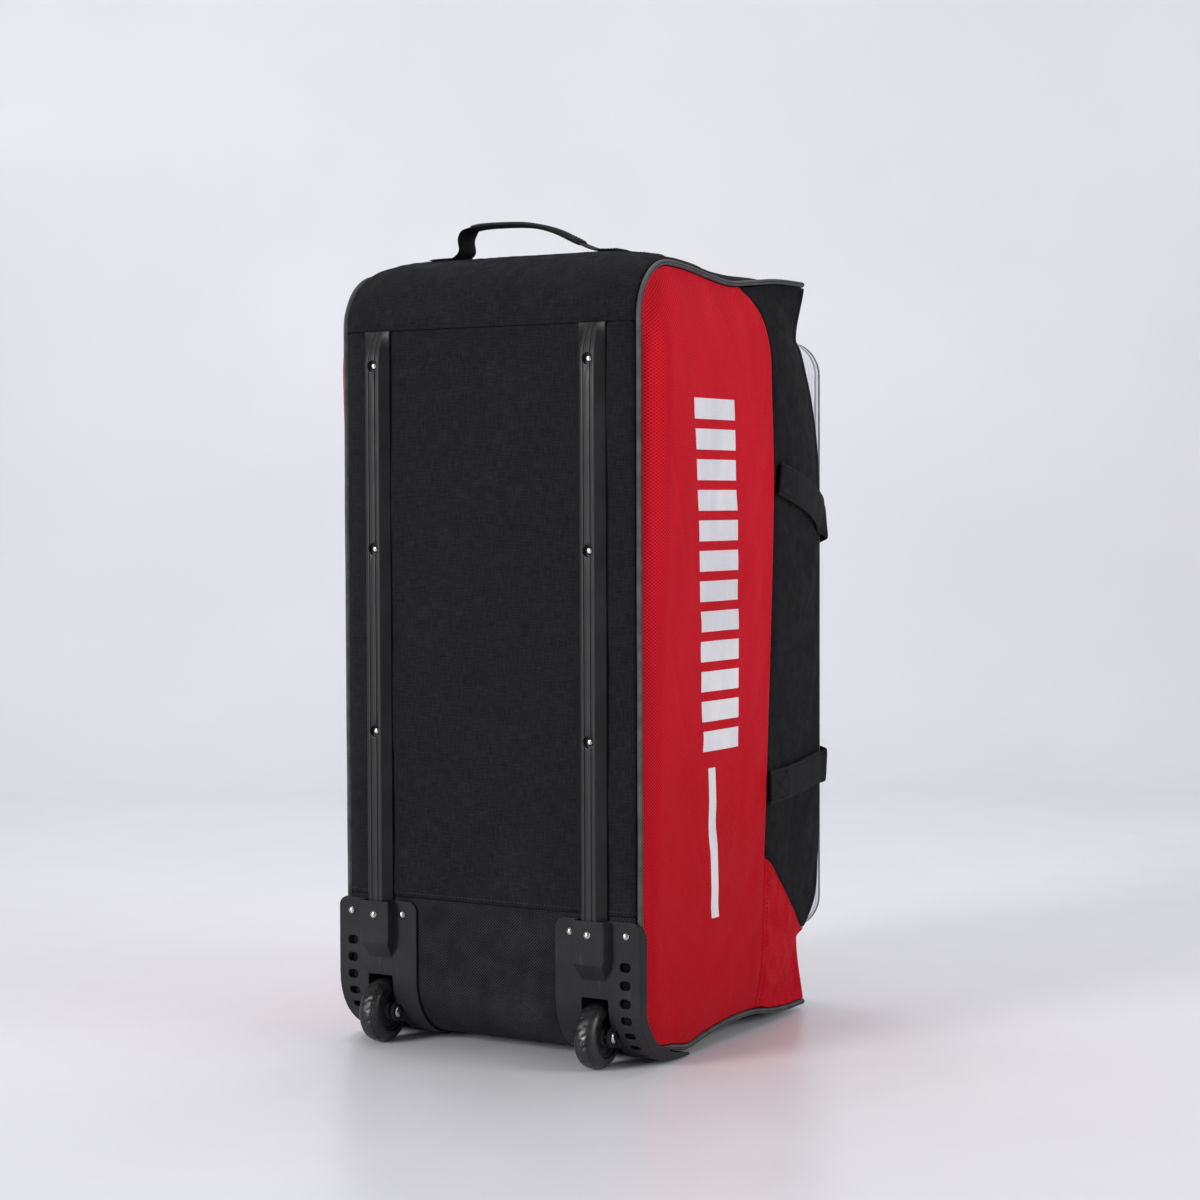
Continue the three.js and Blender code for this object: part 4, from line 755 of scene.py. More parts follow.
def dusted(finish, colour, high, amount, dust=(120, 118, 114)):
    mask = finish.effect(DUST, {"Vector": finish.place, "High": high, "Amount": amount})[0]
    return tint(finish.tree, mask, colour, shade(*dust))


def woven_finish(name, dark, light, pitch, roughness=0.86, dust=0.06):
    finish = Finish(name, roughness, specular=0.08)
    tree = finish.tree
    threads = finish.effect(WOVEN, {"Vector": finish.map, "Thread Pitch": pitch, "Unevenness": 0.5})
    tone = ramp(tree, threads["Tone"], 0.36, 0.66)
    colour = tint(tree, tone, shade(*dark), shade(*light))
    gaps = ramp(tree, threads["Height"], 0.1, 0.6, 0.55, 0.0)
    colour = tint(tree, gaps, colour, shade(*[c * 0.45 for c in dark]))
    colour = dusted(finish, colour, 0.3, dust)
    rub = finish.noise(finish.place, 55.0, 5.0)
    rough = ramp(tree, rub, 0.3, 0.7, roughness - 0.08, roughness + 0.1)
    normal = finish.relief(threads["Height"], pitch * 0.25, 0.6)
    normal = finish.relief(threads["Tone"], 0.0005, 0.5, normal)
    return finish.set(Base_Color=colour, Roughness=rough, Normal=normal)


# The printed bars, in metres: a leaning ladder of rungs and a thin bar below it
BARS_HEAD, BARS_LEAN, BARS_MIDDLE, BARS_TAPER, INK_EDGE = 0.705, -0.0933, 0.136, -0.0133, 0.0003
RUNGS_FOOT, RUNGS_HEAD, RUNG_HALF, RUNG_PITCH, RUNG_GAP = 0.321, 0.712, 0.045, 0.0326, 0.0104
THIN_FOOT, THIN_HEAD, THIN_HALF, THIN_ASIDE = 0.142, 0.308, 0.008, 0.025


def side_finish(name):
    """Red sports mesh over a smooth red backing, with a ladder of plain pale bars printed on it, and painted shade
    towards its foot.
    """
    finish = Finish(name, 0.66, specular=0.1)
    tree = finish.tree
    cells = finish.effect(KNITTED, {"Vector": finish.map, "Cell": 0.0036, "Opening": 0.48})
    cloud = finish.streaks(finish.place, (1, 1, 0.25), 22.0, 4.0)
    colour = tint(tree, ramp(tree, cloud, 0.3, 0.72), shade(210, 20, 38), shade(222, 25, 45))
    place = put(tree, "ShaderNodeSeparateXYZ", {0: finish.place})
    # Painted shade: the red is darkened towards the bottom of the side, where less light falls on it.
    shade_toward_foot = ramp(tree, place.outputs[2], 0.05, 0.62, 0.75, 0.0)
    colour = tint(tree, shade_toward_foot, colour, shade(182, 1, 18))
    drop = calc(tree, "SUBTRACT", BARS_HEAD, place.outputs[2])
    lean = calc(tree, "MULTIPLY_ADD", drop, BARS_LEAN, place.outputs[1])
    off_middle = calc(tree, "SUBTRACT", lean, BARS_MIDDLE + DEPTH_SHIFT / 1000)
    half = calc(tree, "MULTIPLY_ADD", drop, BARS_TAPER, RUNG_HALF)

    def edge(value, at, *ends):
        return ramp(tree, value, at - INK_EDGE, at + INK_EDGE, *ends)
    inside = edge(calc(tree, "SUBTRACT", half, calc(tree, "ABSOLUTE", off_middle)), 0)
    rung = calc(tree, "PINGPONG", calc(tree, "SUBTRACT", place.outputs[2], RUNGS_FOOT), RUNG_PITCH / 2)
    rungs = calc(tree, "MULTIPLY", inside, edge(rung, RUNG_GAP / 2))
    thin = edge(calc(tree, "ABSOLUTE", calc(tree, "ADD", off_middle, THIN_ASIDE)), THIN_HALF, 1.0, 0.0)
    for low, high, shape in ((RUNGS_FOOT, RUNGS_HEAD, rungs), (THIN_FOOT, THIN_HEAD, thin)):
        start, end = edge(place.outputs[2], low), edge(place.outputs[2], high, 1.0, 0.0)
        part = calc(tree, "MULTIPLY", shape, calc(tree, "MULTIPLY", start, end))
        bars = part if shape is rungs else calc(tree, "MAXIMUM", bars, part)
    worn = ramp(tree, finish.noise(finish.place, 300.0, 3.0), 0.2, 0.3, 0.8, 1.0)
    bars = calc(tree, "MULTIPLY", bars, worn)
    ink = tint(tree, ramp(tree, cloud, 0.3, 0.7), shade(222, 222, 228), shade(240, 240, 244))
    colour = tint(tree, bars, colour, ink)
    holes = calc(tree, "MULTIPLY", cells["Hole"], ramp(tree, bars, 0.0, 1.0, 0.5, 0.16))
    colour = tint(tree, holes, colour, shade(96, 0, 10))
    colour = dusted(finish, colour, 0.15, 0.03, (150, 120, 118))
    normal = finish.relief(cells["Height"], 0.0006, 0.6)
    fibres = finish.streaks(finish.map, (1, 0.1, 1), 700.0, 3.0)
    normal = finish.relief(fibres, 0.0003, 0.35, normal)
    rough = ramp(tree, cells["Hole"], 0.0, 1.0, 0.6, 0.9)
    return finish.set(Base_Color=colour, Roughness=rough, Normal=normal)


def lower_mesh_finish(name):
    finish = Finish(name, 0.8, specular=0.1)
    tree = finish.tree
    cells = finish.effect(KNITTED, {"Vector": finish.map, "Cell": 0.0036, "Opening": 0.5})
    tone = ramp(tree, finish.noise(finish.place, 40.0), 0.3, 0.7)
    colour = tint(tree, tone, shade(36, 35, 39), shade(47, 46, 51))
    colour = tint(tree, ramp(tree, cells["Hole"], 0.0, 1.0, 0.0, 0.95), colour, shade(6, 6, 7))
    place = put(tree, "ShaderNodeSeparateXYZ", {0: finish.place})
    # Painted shade: where the mesh lies behind the wheel guards it is painted near-black.
    painted_shade_behind_guards = calc(tree, "MULTIPLY", ramp(tree, calc(tree, "ABSOLUTE", place.outputs[0]), 0.0892, 0.0902),
                  ramp(tree, place.outputs[2], (GUARD_HEAD - 12) / 1000, (GUARD_HEAD - 10) / 1000, 1.0, 0.0))
    colour = tint(tree, painted_shade_behind_guards, colour, shade(7, 7, 8))
    colour = dusted(finish, colour, 0.22, 0.08)
    normal = finish.relief(cells["Height"], 0.0008, 0.8)
    return finish.set(Base_Color=colour, Normal=normal)


def piping_finish(name, light, dark, line):
    """Corded edge: fine cross threads, and a dark line of painted shade where its two ridges meet."""
    finish = Finish(name, 0.6, specular=0.3)
    tree = finish.tree
    across = put(tree, "ShaderNodeSeparateXYZ", {0: finish.map})
    slanted = calc(tree, "MULTIPLY_ADD", across.outputs[1], 0.4, across.outputs[0])
    twist = calc(tree, "SINE", calc(tree, "MULTIPLY", slanted, 2 * math.pi / 0.0011))
    tone = ramp(tree, finish.noise(finish.place, 60.0), 0.3, 0.7)
    colour = tint(tree, tone, shade(*dark), shade(*light))
    # Painted shade: a thin near-black line along the cord where its two ridges meet.
    groove_shade = calc(tree, "ABSOLUTE", calc(tree, "SUBTRACT", across.outputs[1], line))
    colour = tint(tree, ramp(tree, groove_shade, 0.0003, 0.0008, 0.9, 0.0), colour, shade(10, 10, 11))
    colour = dusted(finish, colour, 0.3, 0.08)
    normal = finish.relief(twist, 0.0001, 0.5)
    return finish.set(Base_Color=colour, Normal=normal)


def webbing_finish(name):
    finish = Finish(name, 0.72, specular=0.14)
    tree = finish.tree
    ribs = finish.effect(RIBBED, {"Vector": finish.map})
    colour = tint(tree, ramp(tree, ribs["Height"], 0.05, 0.8), shade(9, 9, 10), shade(27, 26, 28))
    colour = tint(tree, ramp(tree, ribs["Tone"], 0.45, 0.8, 0.0, 0.3), colour, shade(38, 37, 40))
    normal = finish.relief(ribs["Height"], 0.0004, 0.8)
    return finish.set(Base_Color=colour, Normal=normal)


def moulded_finish(name, dark, light, roughness, grain=900.0, specular=0.45, scuffs=0.25):
    finish = Finish(name, roughness, specular=specular)
    tree = finish.tree
    skin = finish.effect(GRAIN, {"Vector": finish.place, "Grain": grain, "Flow": 24.0})
    colour = tint(tree, ramp(tree, skin["Tone"], 0.3, 0.7), shade(*dark), shade(*light))
    scratch = finish.streaks(finish.place, (1, 1, 0.12), 170.0, 5.0)
    marks = ramp(tree, scratch, 0.6, 0.78, 0.0, scuffs)
    colour = tint(tree, marks, colour, shade(*[min(c * 1.8 + 14, 255) for c in light]))
    colour = dusted(finish, colour, 0.2, 0.1)
    rough = calc(tree, "ADD", ramp(tree, skin["Tone"], 0.3, 0.7, roughness - 0.06, roughness + 0.08),
                 calc(tree, "MULTIPLY", marks, 0.5))
    normal = finish.relief(skin["Height"], 0.00008, 0.6)
    return finish.set(Base_Color=colour, Roughness=rough, Normal=normal)


def tyre_finish(name):
    finish = Finish(name, 0.34, specular=0.5)
    tree = finish.tree
    skin = finish.effect(GRAIN, {"Vector": finish.place, "Grain": 320.0, "Flow": 60.0})
    pits = put(tree, "ShaderNodeTexVoronoi", {"Vector": finish.place, "Scale": 130.0, "Randomness": 1.0})
    pit = ramp(tree, pits.outputs["Distance"], 0.1, 0.22)
    colour = tint(tree, ramp(tree, skin["Tone"], 0.3, 0.7), shade(16, 16, 17), shade(30, 29, 31))
    rough = ramp(tree, skin["Tone"], 0.35, 0.65, 0.26, 0.5)
    normal = finish.relief(pit, 0.0005, 0.7)
    normal = finish.relief(skin["Height"], 0.00015, 0.5, normal)
    return finish.set(Base_Color=colour, Roughness=rough, Normal=normal)


def metal_finish(name):
    finish = Finish(name, 0.16, metallic=1.0)
    tree = finish.tree
    skin = finish.effect(GRAIN, {"Vector": finish.place, "Grain": 500.0, "Flow": 150.0})
    colour = tint(tree, ramp(tree, skin["Tone"], 0.3, 0.7), shade(168, 169, 174), shade(202, 203, 207))
    rough = ramp(tree, skin["Tone"], 0.3, 0.7, 0.1, 0.26)
    return finish.set(Base_Color=colour, Roughness=rough, Normal=finish.relief(skin["Height"], 0.00003, 0.4))


def tape_finish(name):
    """Pale ribbed tape round the lid, faintly striped along its length."""
    finish = Finish(name, 0.55, sheen=0.1, specular=0.4)
    tree = finish.tree
    across = put(tree, "ShaderNodeSeparateXYZ", {0: finish.map})
    stripe = calc(tree, "SINE", calc(tree, "MULTIPLY", across.outputs[1], 2 * math.pi / 0.009))
    threads = finish.effect(WOVEN, {"Vector": finish.map, "Thread Pitch": 0.0007, "Unevenness": 0.4})
    colour = tint(tree, ramp(tree, stripe, -1.0, 1.0), shade(216, 216, 224), shade(238, 238, 243))
    colour = tint(tree, ramp(tree, threads["Tone"], 0.5, 0.8, 0.0, 0.3), colour, shade(196, 196, 204))
    normal = finish.relief(threads["Height"], 0.0002, 0.5)
    return finish.set(Base_Color=colour, Normal=finish.relief(stripe, 0.0004, 0.4, normal))


def thread_finish(name, light, dark):
    finish = Finish(name, 0.7, specular=0.15)
    tree = finish.tree
    tone = ramp(tree, finish.noise(finish.place, 800.0, 2.0), 0.3, 0.7)
    return finish.set(Base_Color=tint(tree, tone, shade(*dark), shade(*light)))


PIPING_LINE = 0.0047
PIPING_ROUND = 19.0
black_cloth = woven_finish("black_cloth", (25, 24, 26), (37, 36, 39), 0.0007)
red_weave = woven_finish("red_weave", (180, 6, 24), (204, 12, 34), 0.0009, roughness=0.7, dust=0.03)
black_mesh = lower_mesh_finish("black_mesh")
red_mesh = side_finish("red_mesh")
pale_tape = tape_finish("pale_tape")
grey_piping = piping_finish("grey_piping", (84, 84, 88), (64, 64, 68), PIPING_LINE)
dark_piping = piping_finish("dark_piping", (122, 122, 128), (96, 96, 101), 0.5)
guard_plastic = moulded_finish("guard_plastic", (33, 32, 35), (42, 41, 44), 0.62, specular=0.15)
rail_plastic = moulded_finish("rail_plastic", (20, 20, 21), (27, 27, 29), 0.46, grain=700.0, specular=0.28,
                              scuffs=0.15)
hub_plastic = moulded_finish("hub_plastic", (30, 30, 32), (40, 40, 43), 0.5)
rubber = tyre_finish("rubber")
chrome = metal_finish("chrome")
webbing = webbing_finish("webbing")
black_thread = thread_finish("black_thread", (12, 12, 13), (6, 6, 7))
grey_thread = thread_finish("grey_thread", (70, 69, 73), (52, 51, 56))
zip_plastic = moulded_finish("zip_plastic", (196, 196, 202), (212, 212, 218), 0.45, scuffs=0.0)


# ---- Pieces riding on the bag ----

def fit(piece, nodes, body="bag"):
    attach(piece, body)
    if nodes:
        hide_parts(*nodes)
    return piece


SIDES = (("right", 1.0), ("left", -1.0))
seams = {"black": [], "grey": []}


def sew(colour, line, pitch=4.2):
    seams[colour].append((line[0], line[1], pitch))


def on_side(points, side):
    placed = np.array(points, float)
    placed[..., 0] *= side
    return placed


# ---- Panels that wrap the bag from side seam to side seam ----

def wrap_shares():
    near = 30 * (np.arange(11) / 10) ** 2
    middle = np.linspace(30, CLOTH_EDGE, 38)[1:]
    half = 1 - np.concatenate([near, middle]) / CLOTH_EDGE
    return np.concatenate([-half[:-1], half[::-1]])


def end_half(y):
    turn_y = FRONT_SEAM - SEAM_TURN
    turned = HALF_SEAM - SEAM_TURN + leg(SEAM_TURN - PIPING - GAP, y - turn_y)
    return np.where(y <= turn_y, CLOTH_EDGE, turned)


def back_stations(z):
    ones = np.ones_like(z)
    return np.stack([SEAM_BACK * ones, z, -ones, 0 * ones, BACK_ROLL * ones, BACK_FLAT * ones, CLOTH_EDGE * ones], 1)


def top_corner_stations(share):
    angle = 2 * QUARTER - share * QUARTER
    out_y, out_z = np.cos(angle), np.sin(angle)
    crown = lerp(BACK_ROLL, top_middle_z(TOP_CORNER_Y) - TOP_SEAM, ease(share))
    return np.stack([TOP_CORNER_Y + TOP_RADIUS * out_y, TOP_CORNER_Z + TOP_RADIUS * out_z, out_y, out_z, crown,
                     lerp(BACK_FLAT, END_FLAT, share), CLOTH_EDGE + 0 * share], 1)


def foot_corner_stations(share):
    angle = 2 * QUARTER + share * QUARTER
    out_y, out_z = np.cos(angle), np.sin(angle)
    ones = np.ones_like(share)
    return np.stack([CORNER_Y + SEAM_CORNER * out_y, CORNER_Z + SEAM_CORNER * out_z, out_y, out_z,
                     BACK_ROLL * ones, BACK_FLAT * ones, CLOTH_EDGE * ones], 1)


def top_stations(y):
    z, ones = top_seam_z(y), np.ones_like(y)
    return np.stack([y, z, 0 * ones, ones, top_middle_z(y) - z, END_FLAT * ones, end_half(y)], 1)


def foot_stations(y):
    z, ones = foot_seam_z(y), np.ones_like(y)
    flat = lerp(BACK_FLAT, END_FLAT, ease((y - MESH_SEAM_Y) / (FLOOR_START - MESH_SEAM_Y)))
    return np.stack([y, z, 0 * ones, -ones, z - foot_middle_z(y), flat, end_half(y)], 1)


def wrap_panel(stations):
    shares = wrap_shares()
    y, z, out_y, out_z, crown, flat, half = (stations[:, k:k + 1] for k in range(7))
    rise = crown * crown_shape(np.abs(shares)[None, :], flat)
    points = np.stack([shares[None, :] * half, y + out_y * rise, z + out_z * rise], -1)
    outward = np.stack([0 * y + 0 * rise, out_y + 0 * rise, out_z + 0 * rise], -1)
    middle = points[:, len(shares) // 2]
    travel = travel_of(middle)
    uv = np.stack([points[..., 0], travel[:, None] + 0 * rise], -1)
    return Panel(points, outward, uv)


def make_wrap_panels():
    span = BACK_SEAM_Z - MESH_SEAM_Z - 2 * CUT
    back = wrap_panel(back_stations(MESH_SEAM_Z + CUT + span * spread(span)))
    x, z = back.points[..., 0], back.points[..., 2]
    back.fold(1.5 * patchwork_noise(x / 95, z / 120, 11) + 0.8 * patchwork_noise(x / 38, z / 60, 12)
              + 0.9 * creases((x + 0.5 * z) / 70, (z - 0.4 * x) / 150, 13))
    back.gather(14, "lrfh", 0.45)
    back.roll("fh")
    fit(back.sewn("back_cloth", black_cloth), ["back_panel"])
    sew("grey", back.line("f", 5.0))
    sew("black", back.line("h", 5.0))

    over = back_stations(np.array([BACK_SEAM_Z + CUT, BACK_SEAM_Z + CUT + 1.2, BACK_SEAM_Z + CUT + 2.6]))
    last = [0.965, 0.98, 0.99, 1 - CUT / TOP_RADIUS / QUARTER]
    turns = top_corner_stations(np.concatenate([np.linspace(0.0, 0.94, 26), last]))
    wrap = wrap_panel(np.vstack([over, turns]))
    x, travel = wrap.uv[..., 0], wrap.uv[..., 1]
    wrap.fold(1.2 * patchwork_noise(x / 80, travel / 55, 21) + 1.3 * creases((x - travel) / 62, (travel + x) / 90, 22)
              + 0.5 * patchwork_noise(x / 26, travel / 30, 23))
    wrap.slump(0.018, 1.6)
    wrap.gather(24, "lrfh", 0.6)
    wrap.roll("fh")
    fit(wrap.sewn("top_wrap_cloth", black_cloth), ["top_wrap_panel"])
    sew("black", wrap.line("f", 5.0))
    sew("black", wrap.line("h", 5.0))

    start, end = TOP_CORNER_Y + CUT, FRONT_SEAM - PIPING - GAP
    top = wrap_panel(top_stations(start + (end - start) * spread(end - start)))
    x, y = top.points[..., 0], top.points[..., 1]
    top.fold(2.0 * patchwork_noise(x / 90, y / 80, 31) + 1.4 * creases((x + y) / 75, (y - x) / 110, 32)
             + 0.7 * patchwork_noise(x / 32, y / 36, 33))
    top.slump(0.02, 1.8, -0.3)
    top.gather(34, "lrfh", 0.6)
    top.roll("fh")
    fit(top.sewn("top_end_cloth", black_cloth), ["top_end_panel"])
    sew("black", top.line("f", 5.0))

    start = MESH_SEAM_Y + CUT
    foot = wrap_panel(foot_stations(start + (end - start) * spread(end - start)))
    x, y = foot.points[..., 0], foot.points[..., 1]
    foot.fold(-0.6 * np.abs(patchwork_noise(x / 70, y / 60, 41)) - 0.4 * np.abs(patchwork_noise(x / 30, y / 30, 42)))
    foot.roll("fh", 1.0)
    fit(foot.sewn("bottom_end_cloth", black_cloth), ["bottom_end_panel"])

    lower = back_stations(np.linspace(MESH_SEAM_Z - CUT, CORNER_Z, 24)[:-1])
    corner = foot_corner_stations(np.linspace(0, 1, 34))
    heel = foot_stations(np.linspace(CORNER_Y, MESH_SEAM_Y - CUT, 14)[1:])
    mesh = wrap_panel(np.vstack([lower, corner, heel]))
    x, travel = mesh.uv[..., 0], mesh.uv[..., 1]
    clear = np.where(np.abs(x) < GUARD_INNER - 4, 1.0, 0.0)
    mesh.fold((0.7 * patchwork_noise(x / 45, travel / 50, 51) + 0.5 * creases(x / 60, travel / 40, 52)) * clear)
    mesh.roll("f", 1.2)
    cloth = mesh.sewn("lower_back_mesh", black_mesh)
    reach = WELL_HALF + CHEEK + GAP
    well_line = arc_pairs(WHEEL_Y, WHEEL_RADIUS, WELL_RADIUS + WELL_WALL + GAP, 0, 4 * QUARTER, 48)[:-1]
    wells = [prism_x(well_line, side * WHEEL_X - reach, side * WHEEL_X + reach) for side in (-1, 1)]
    fit(carve(cloth, wells, "DIFFERENCE"), ["lower_back_panel"])


# ---- Moulded solids: prisms joined and cut ----

def prism(outline, low, high, axis, name):
    outline = np.asarray(outline, float)
    vertices = to_frame(np.vstack([np.insert(outline, axis, place, axis=1) for place in (low, high)]))
    count = len(outline)
    ring = list(range(count))
    faces = [[i, (i + 1) % count, (i + 1) % count + count, i + count] for i in ring]
    faces += [ring[::-1], [i + count for i in ring]]
    return outward_mesh(name, vertices, faces)


def prism_x(outline, low, high, name="blank"):
    return prism(outline, low, high, 0, name)


def prism_y(outline, low, high, name="blank"):
    return prism(outline, low, high, 1, name)


def outward_mesh(name, vertices, faces, material=None):
    piece = plain_mesh(name, vertices, faces, material)
    a = np.array(vertices, float)
    volume = 0.0
    for face in faces:
        for i in range(1, len(face) - 1):
            volume += np.dot(a[face[0]], np.cross(a[face[i]], a[face[i + 1]]))
    if volume < 0:
        piece.data.flip_normals()
    return piece


def ring_mesh(name, rings, material, angle=None, capped=True):
    """A mesh through rings of points. Its ends are capped, or meet where it runs all the way round."""
    rows, count = rings.shape[:2]
    index = np.arange(rows * count).reshape(rows, count)
    loop = np.hstack([index, index[:, :1]])
    if not capped:
        loop = np.vstack([loop, loop[:1]])
    faces = quads_of(loop).tolist()
    if capped:
        faces += [index[0][::-1].tolist(), index[-1].tolist()]
    piece = outward_mesh(name, to_frame(rings.reshape(-1, 3)), faces, material)
    if angle:
        smooth_shading(piece, angle)
    return piece


def write_ring_uv(piece, travel, across):
    """A map in millimetres: the travel of each ring, and the place of each point across it."""
    across = np.broadcast_to(across, (len(travel), np.shape(across)[-1]))
    pairs = np.stack(np.broadcast_arrays(travel[:, None], across), -1)
    write_uv(piece.data, pairs.reshape(-1, 2) / 1000)


def settle(piece):
    """Applies a piece's modifiers to its mesh."""
    view = bpy.context.evaluated_depsgraph_get()
    view.update()
    mesh = bpy.data.meshes.new_from_object(piece.evaluated_get(view))
    piece.modifiers.clear()
    old = piece.data
    piece.data = mesh
    bpy.data.meshes.remove(old)
    mesh.name = piece.name
    return piece


def carve(piece, tools, operation):
    for tool in tools:
        cut = piece.modifiers.new("cut", "BOOLEAN")
        cut.operation = operation
        cut.solver = "EXACT"
        cut.object = tool
    settle(piece)
    for tool in tools:
        bpy.data.objects.remove(tool)
    return piece


def smooth_shading(piece, angle):
    mesh = piece.data
    mesh.polygons.foreach_set("use_smooth", [True] * len(mesh.polygons))
    mesh.set_sharp_from_angle(angle=math.radians(angle))


def bevelled(piece, width, segments=2, angle=30):
    edge = piece.modifiers.new("bevel", "BEVEL")
    edge.width = width / 1000
    edge.segments = segments
    edge.limit_method = "ANGLE"
    edge.angle_limit = math.radians(angle)
    edge.harden_normals = False
    return settle(piece)


def mirrored(piece, name):
    copy = piece.copy()
    copy.data = piece.data.copy()
    copy.name = name
    copy.data.name = name
    copy.data.transform(Matrix.Scale(-1, 4, (1, 0, 0)))
    copy.data.flip_normals()
    bpy.context.scene.collection.objects.link(copy)
    return copy


# ---- Side cloth ----

def coons(back, front, foot, head, us, vs):
    u, v = np.meshgrid(us, vs)
    corners = [np.asarray(f(np.float64(s)))[None, None] for f in (foot, head) for s in (0, 1)]
    u3, v3 = u[..., None], v[..., None]
    ends = lerp(lerp(corners[0], corners[1], u3), lerp(corners[2], corners[3], u3), v3)
    sides = lerp(back(vs)[:, None], front(vs)[:, None], u3)
    caps = lerp(foot(us)[None], head(us)[None], v3)
    place = sides + caps - ends
    y, z = place[..., 0], place[..., 1]
    return np.stack([side_x(y, z), y, z], -1)


def red_grid():
    inner, inner_top = SEAM_CORNER - SIDE_INSET, TOP_RADIUS - SIDE_INSET
    back_line = np.vstack([arc_pairs(CORNER_Y, CORNER_Z, inner, 2.5 * QUARTER, 2 * QUARTER),
                           arc_pairs(TOP_CORNER_Y, TOP_CORNER_Z, inner_top, 2 * QUARTER, 1.5 * QUARTER)])
    head_y = SPLIT_DEPTH[-1][1] * FRONT_SEAM + SPLIT_SHIFT - CUT
    foot_y = np.linspace(CORNER_Y, SPLIT_FOOT - CUT, 60)[1:]
    top_y = np.linspace(TOP_CORNER_Y, head_y, 60)[1:]
    foot_line = np.vstack([arc_pairs(CORNER_Y, CORNER_Z, inner, 2.5 * QUARTER, 3 * QUARTER),
                           point_pairs(foot_y, foot_seam_z(foot_y) + SIDE_INSET)])
    head_line = np.vstack([arc_pairs(TOP_CORNER_Y, TOP_CORNER_Z, inner_top, 1.5 * QUARTER, QUARTER),
                           point_pairs(top_y, top_seam_z(top_y) - SIDE_INSET)])
    low = float(foot_seam_z(SPLIT_FOOT)) + SIDE_INSET
    high = float(seam_top_z(head_y)) - SIDE_INSET

    def front(v):
        z = lerp(low, high, v)
        return point_pairs(split_y(z) - CUT, z)
    return coons(lambda v: along(back_line, v), front, lambda u: along(foot_line, u),
                 lambda u: along(head_line, u), spread(265, 3.8), spread(815, 3.8))


def slant_points(share, lift):
    end_z = LID_FOOT + LID_HEIGHT * SLANT_END
    y = lerp(float(split_y(PATCH_HEIGHT)), float(front_edge_y(end_z)), share)
    z = lerp(PATCH_HEIGHT, end_z, read_line(SLANT_DROP, share))
    return point_pairs(y + CUT * (1 - share), z + lift)


def front_side_grid():
    head_y = SPLIT_DEPTH[-1][1] * FRONT_SEAM + SPLIT_SHIFT
    high = float(seam_top_z(head_y - CUT)) - SIDE_INSET
    front_low = LID_FOOT + LID_HEIGHT * SLANT_END + CUT
    front_high = float(top_seam_z(FRONT_SEAM)) - SIDE_INSET
    splits, fronts = np.array(SPLIT_TO_FRONT).T

    def back(v):
        z = lerp(PATCH_HEIGHT + CUT, high, v)
        return point_pairs(split_y(z) + CUT, z)

    def front(v):
        z = lerp(front_low, front_high, np.interp(v, splits, fronts))
        return point_pairs(front_edge_y(z), z)

    def head(u):
        y = lerp(head_y + CUT, float(front_edge_y(front_high)), u)
        return point_pairs(y, lerp(high, top_seam_z(y) - SIDE_INSET, ease(u * 4)))
    return coons(back, front, lambda u: slant_points(u, CUT), head, spread(160, 3.8), spread(650, 3.8))


def patch_grid():
    low = float(foot_seam_z(SPLIT_FOOT)) + SIDE_INSET
    front_low = float(foot_seam_z(FRONT_SEAM)) + SIDE_INSET
    front_high = LID_FOOT + LID_HEIGHT * SLANT_END - CUT

    def back(v):
        z = lerp(low, PATCH_HEIGHT - CUT * v, v)
        return point_pairs(split_y(z) + CUT, z)

    def front(v):
        z = lerp(front_low, front_high, v)
        return point_pairs(front_edge_y(z), z)

    def foot(u):
        y = lerp(float(split_y(low)) + CUT, float(front_edge_y(front_low)), u)
        return point_pairs(y, lerp(low, foot_seam_z(y) + SIDE_INSET, ease(u * 4)))
    return coons(back, front, foot, lambda u: slant_points(u, -CUT), spread(130, 3.2), spread(130, 3.2))


def side_panel_of(grid, side):
    return Panel(on_side(grid, side), (side, 0, 0), grid[..., 1:])


def make_side_cloth(side_name, side, seed):
    red = side_panel_of(red_grid(), side)
    y, z = red.uv[..., 0], red.uv[..., 1]
    upright = patchwork_noise(y / 24, z / 210, seed) * (0.45 + 0.55 * ease((y - 150) / 90))
    red.fold(1.2 * patchwork_noise(y / 75, z / 130, seed + 1) + 1.0 * upright
             + 0.8 * creases((y + 0.35 * z) / 60, (z - 0.3 * y) / 190, seed + 2, 7))
    red.slump(0.006, 0.9)
    red.gather(seed + 3, "lr", 0.5, 19.0)
    red.gather(seed + 4, "fh", 0.5)
    red.roll("r", 1.2)
    fit(red.sewn(f"side_mesh_{side_name}", red_mesh), [f"side_panel_{side_name}"])

    black = side_panel_of(front_side_grid(), side)
    y, z = black.uv[..., 0], black.uv[..., 1]
    near_front = black.runs["r"]
    upright = patchwork_noise((near_front + 4 * patchwork_noise(y / 40, z / 160, seed + 9)) / 13, z / 170, seed + 5)
    black.fold(2.0 * upright * np.exp(-near_front / 60) + 1.1 * patchwork_noise(y / 60, z / 90, seed + 6)
               + 0.9 * creases((y - 0.5 * z) / 55, (z + y) / 120, seed + 7), 8.0)
    black.slump(0.02, 2.4)
    black.hold_down(2.1)
    black.gather(seed + 8, "lh", 0.6)
    black.roll("lf", 1.2)
    fit(black.sewn(f"side_front_cloth_{side_name}", black_cloth), [f"side_front_panel_{side_name}"])
    sew("black", black.line("l", 4.5))
    sew("black", black.line("f", 4.5))

    patch = side_panel_of(patch_grid(), side)
    y, z = patch.uv[..., 0], patch.uv[..., 1]
    patch.fold(1.6 * patchwork_noise(y / 50, z / 26, seed + 11)
               + 1.6 * creases((y + z) / 46, (z - y) / 60, seed + 12, 4)
               + 0.7 * patchwork_noise(y / 16, z / 22, seed + 13))
    patch.slump(0.03, 2.4, pitch=6.0)
    patch.gather(seed + 14, "lfh", 0.7)
    patch.roll("lh", 1.4)
    fit(patch.sewn(f"corner_patch_cloth_{side_name}", red_weave), [f"corner_patch_{side_name}"])
    sew("black", patch.line("h", 4.5))
    sew("black", patch.line("l", 9.0), 5.2)


# ---- Piping ----

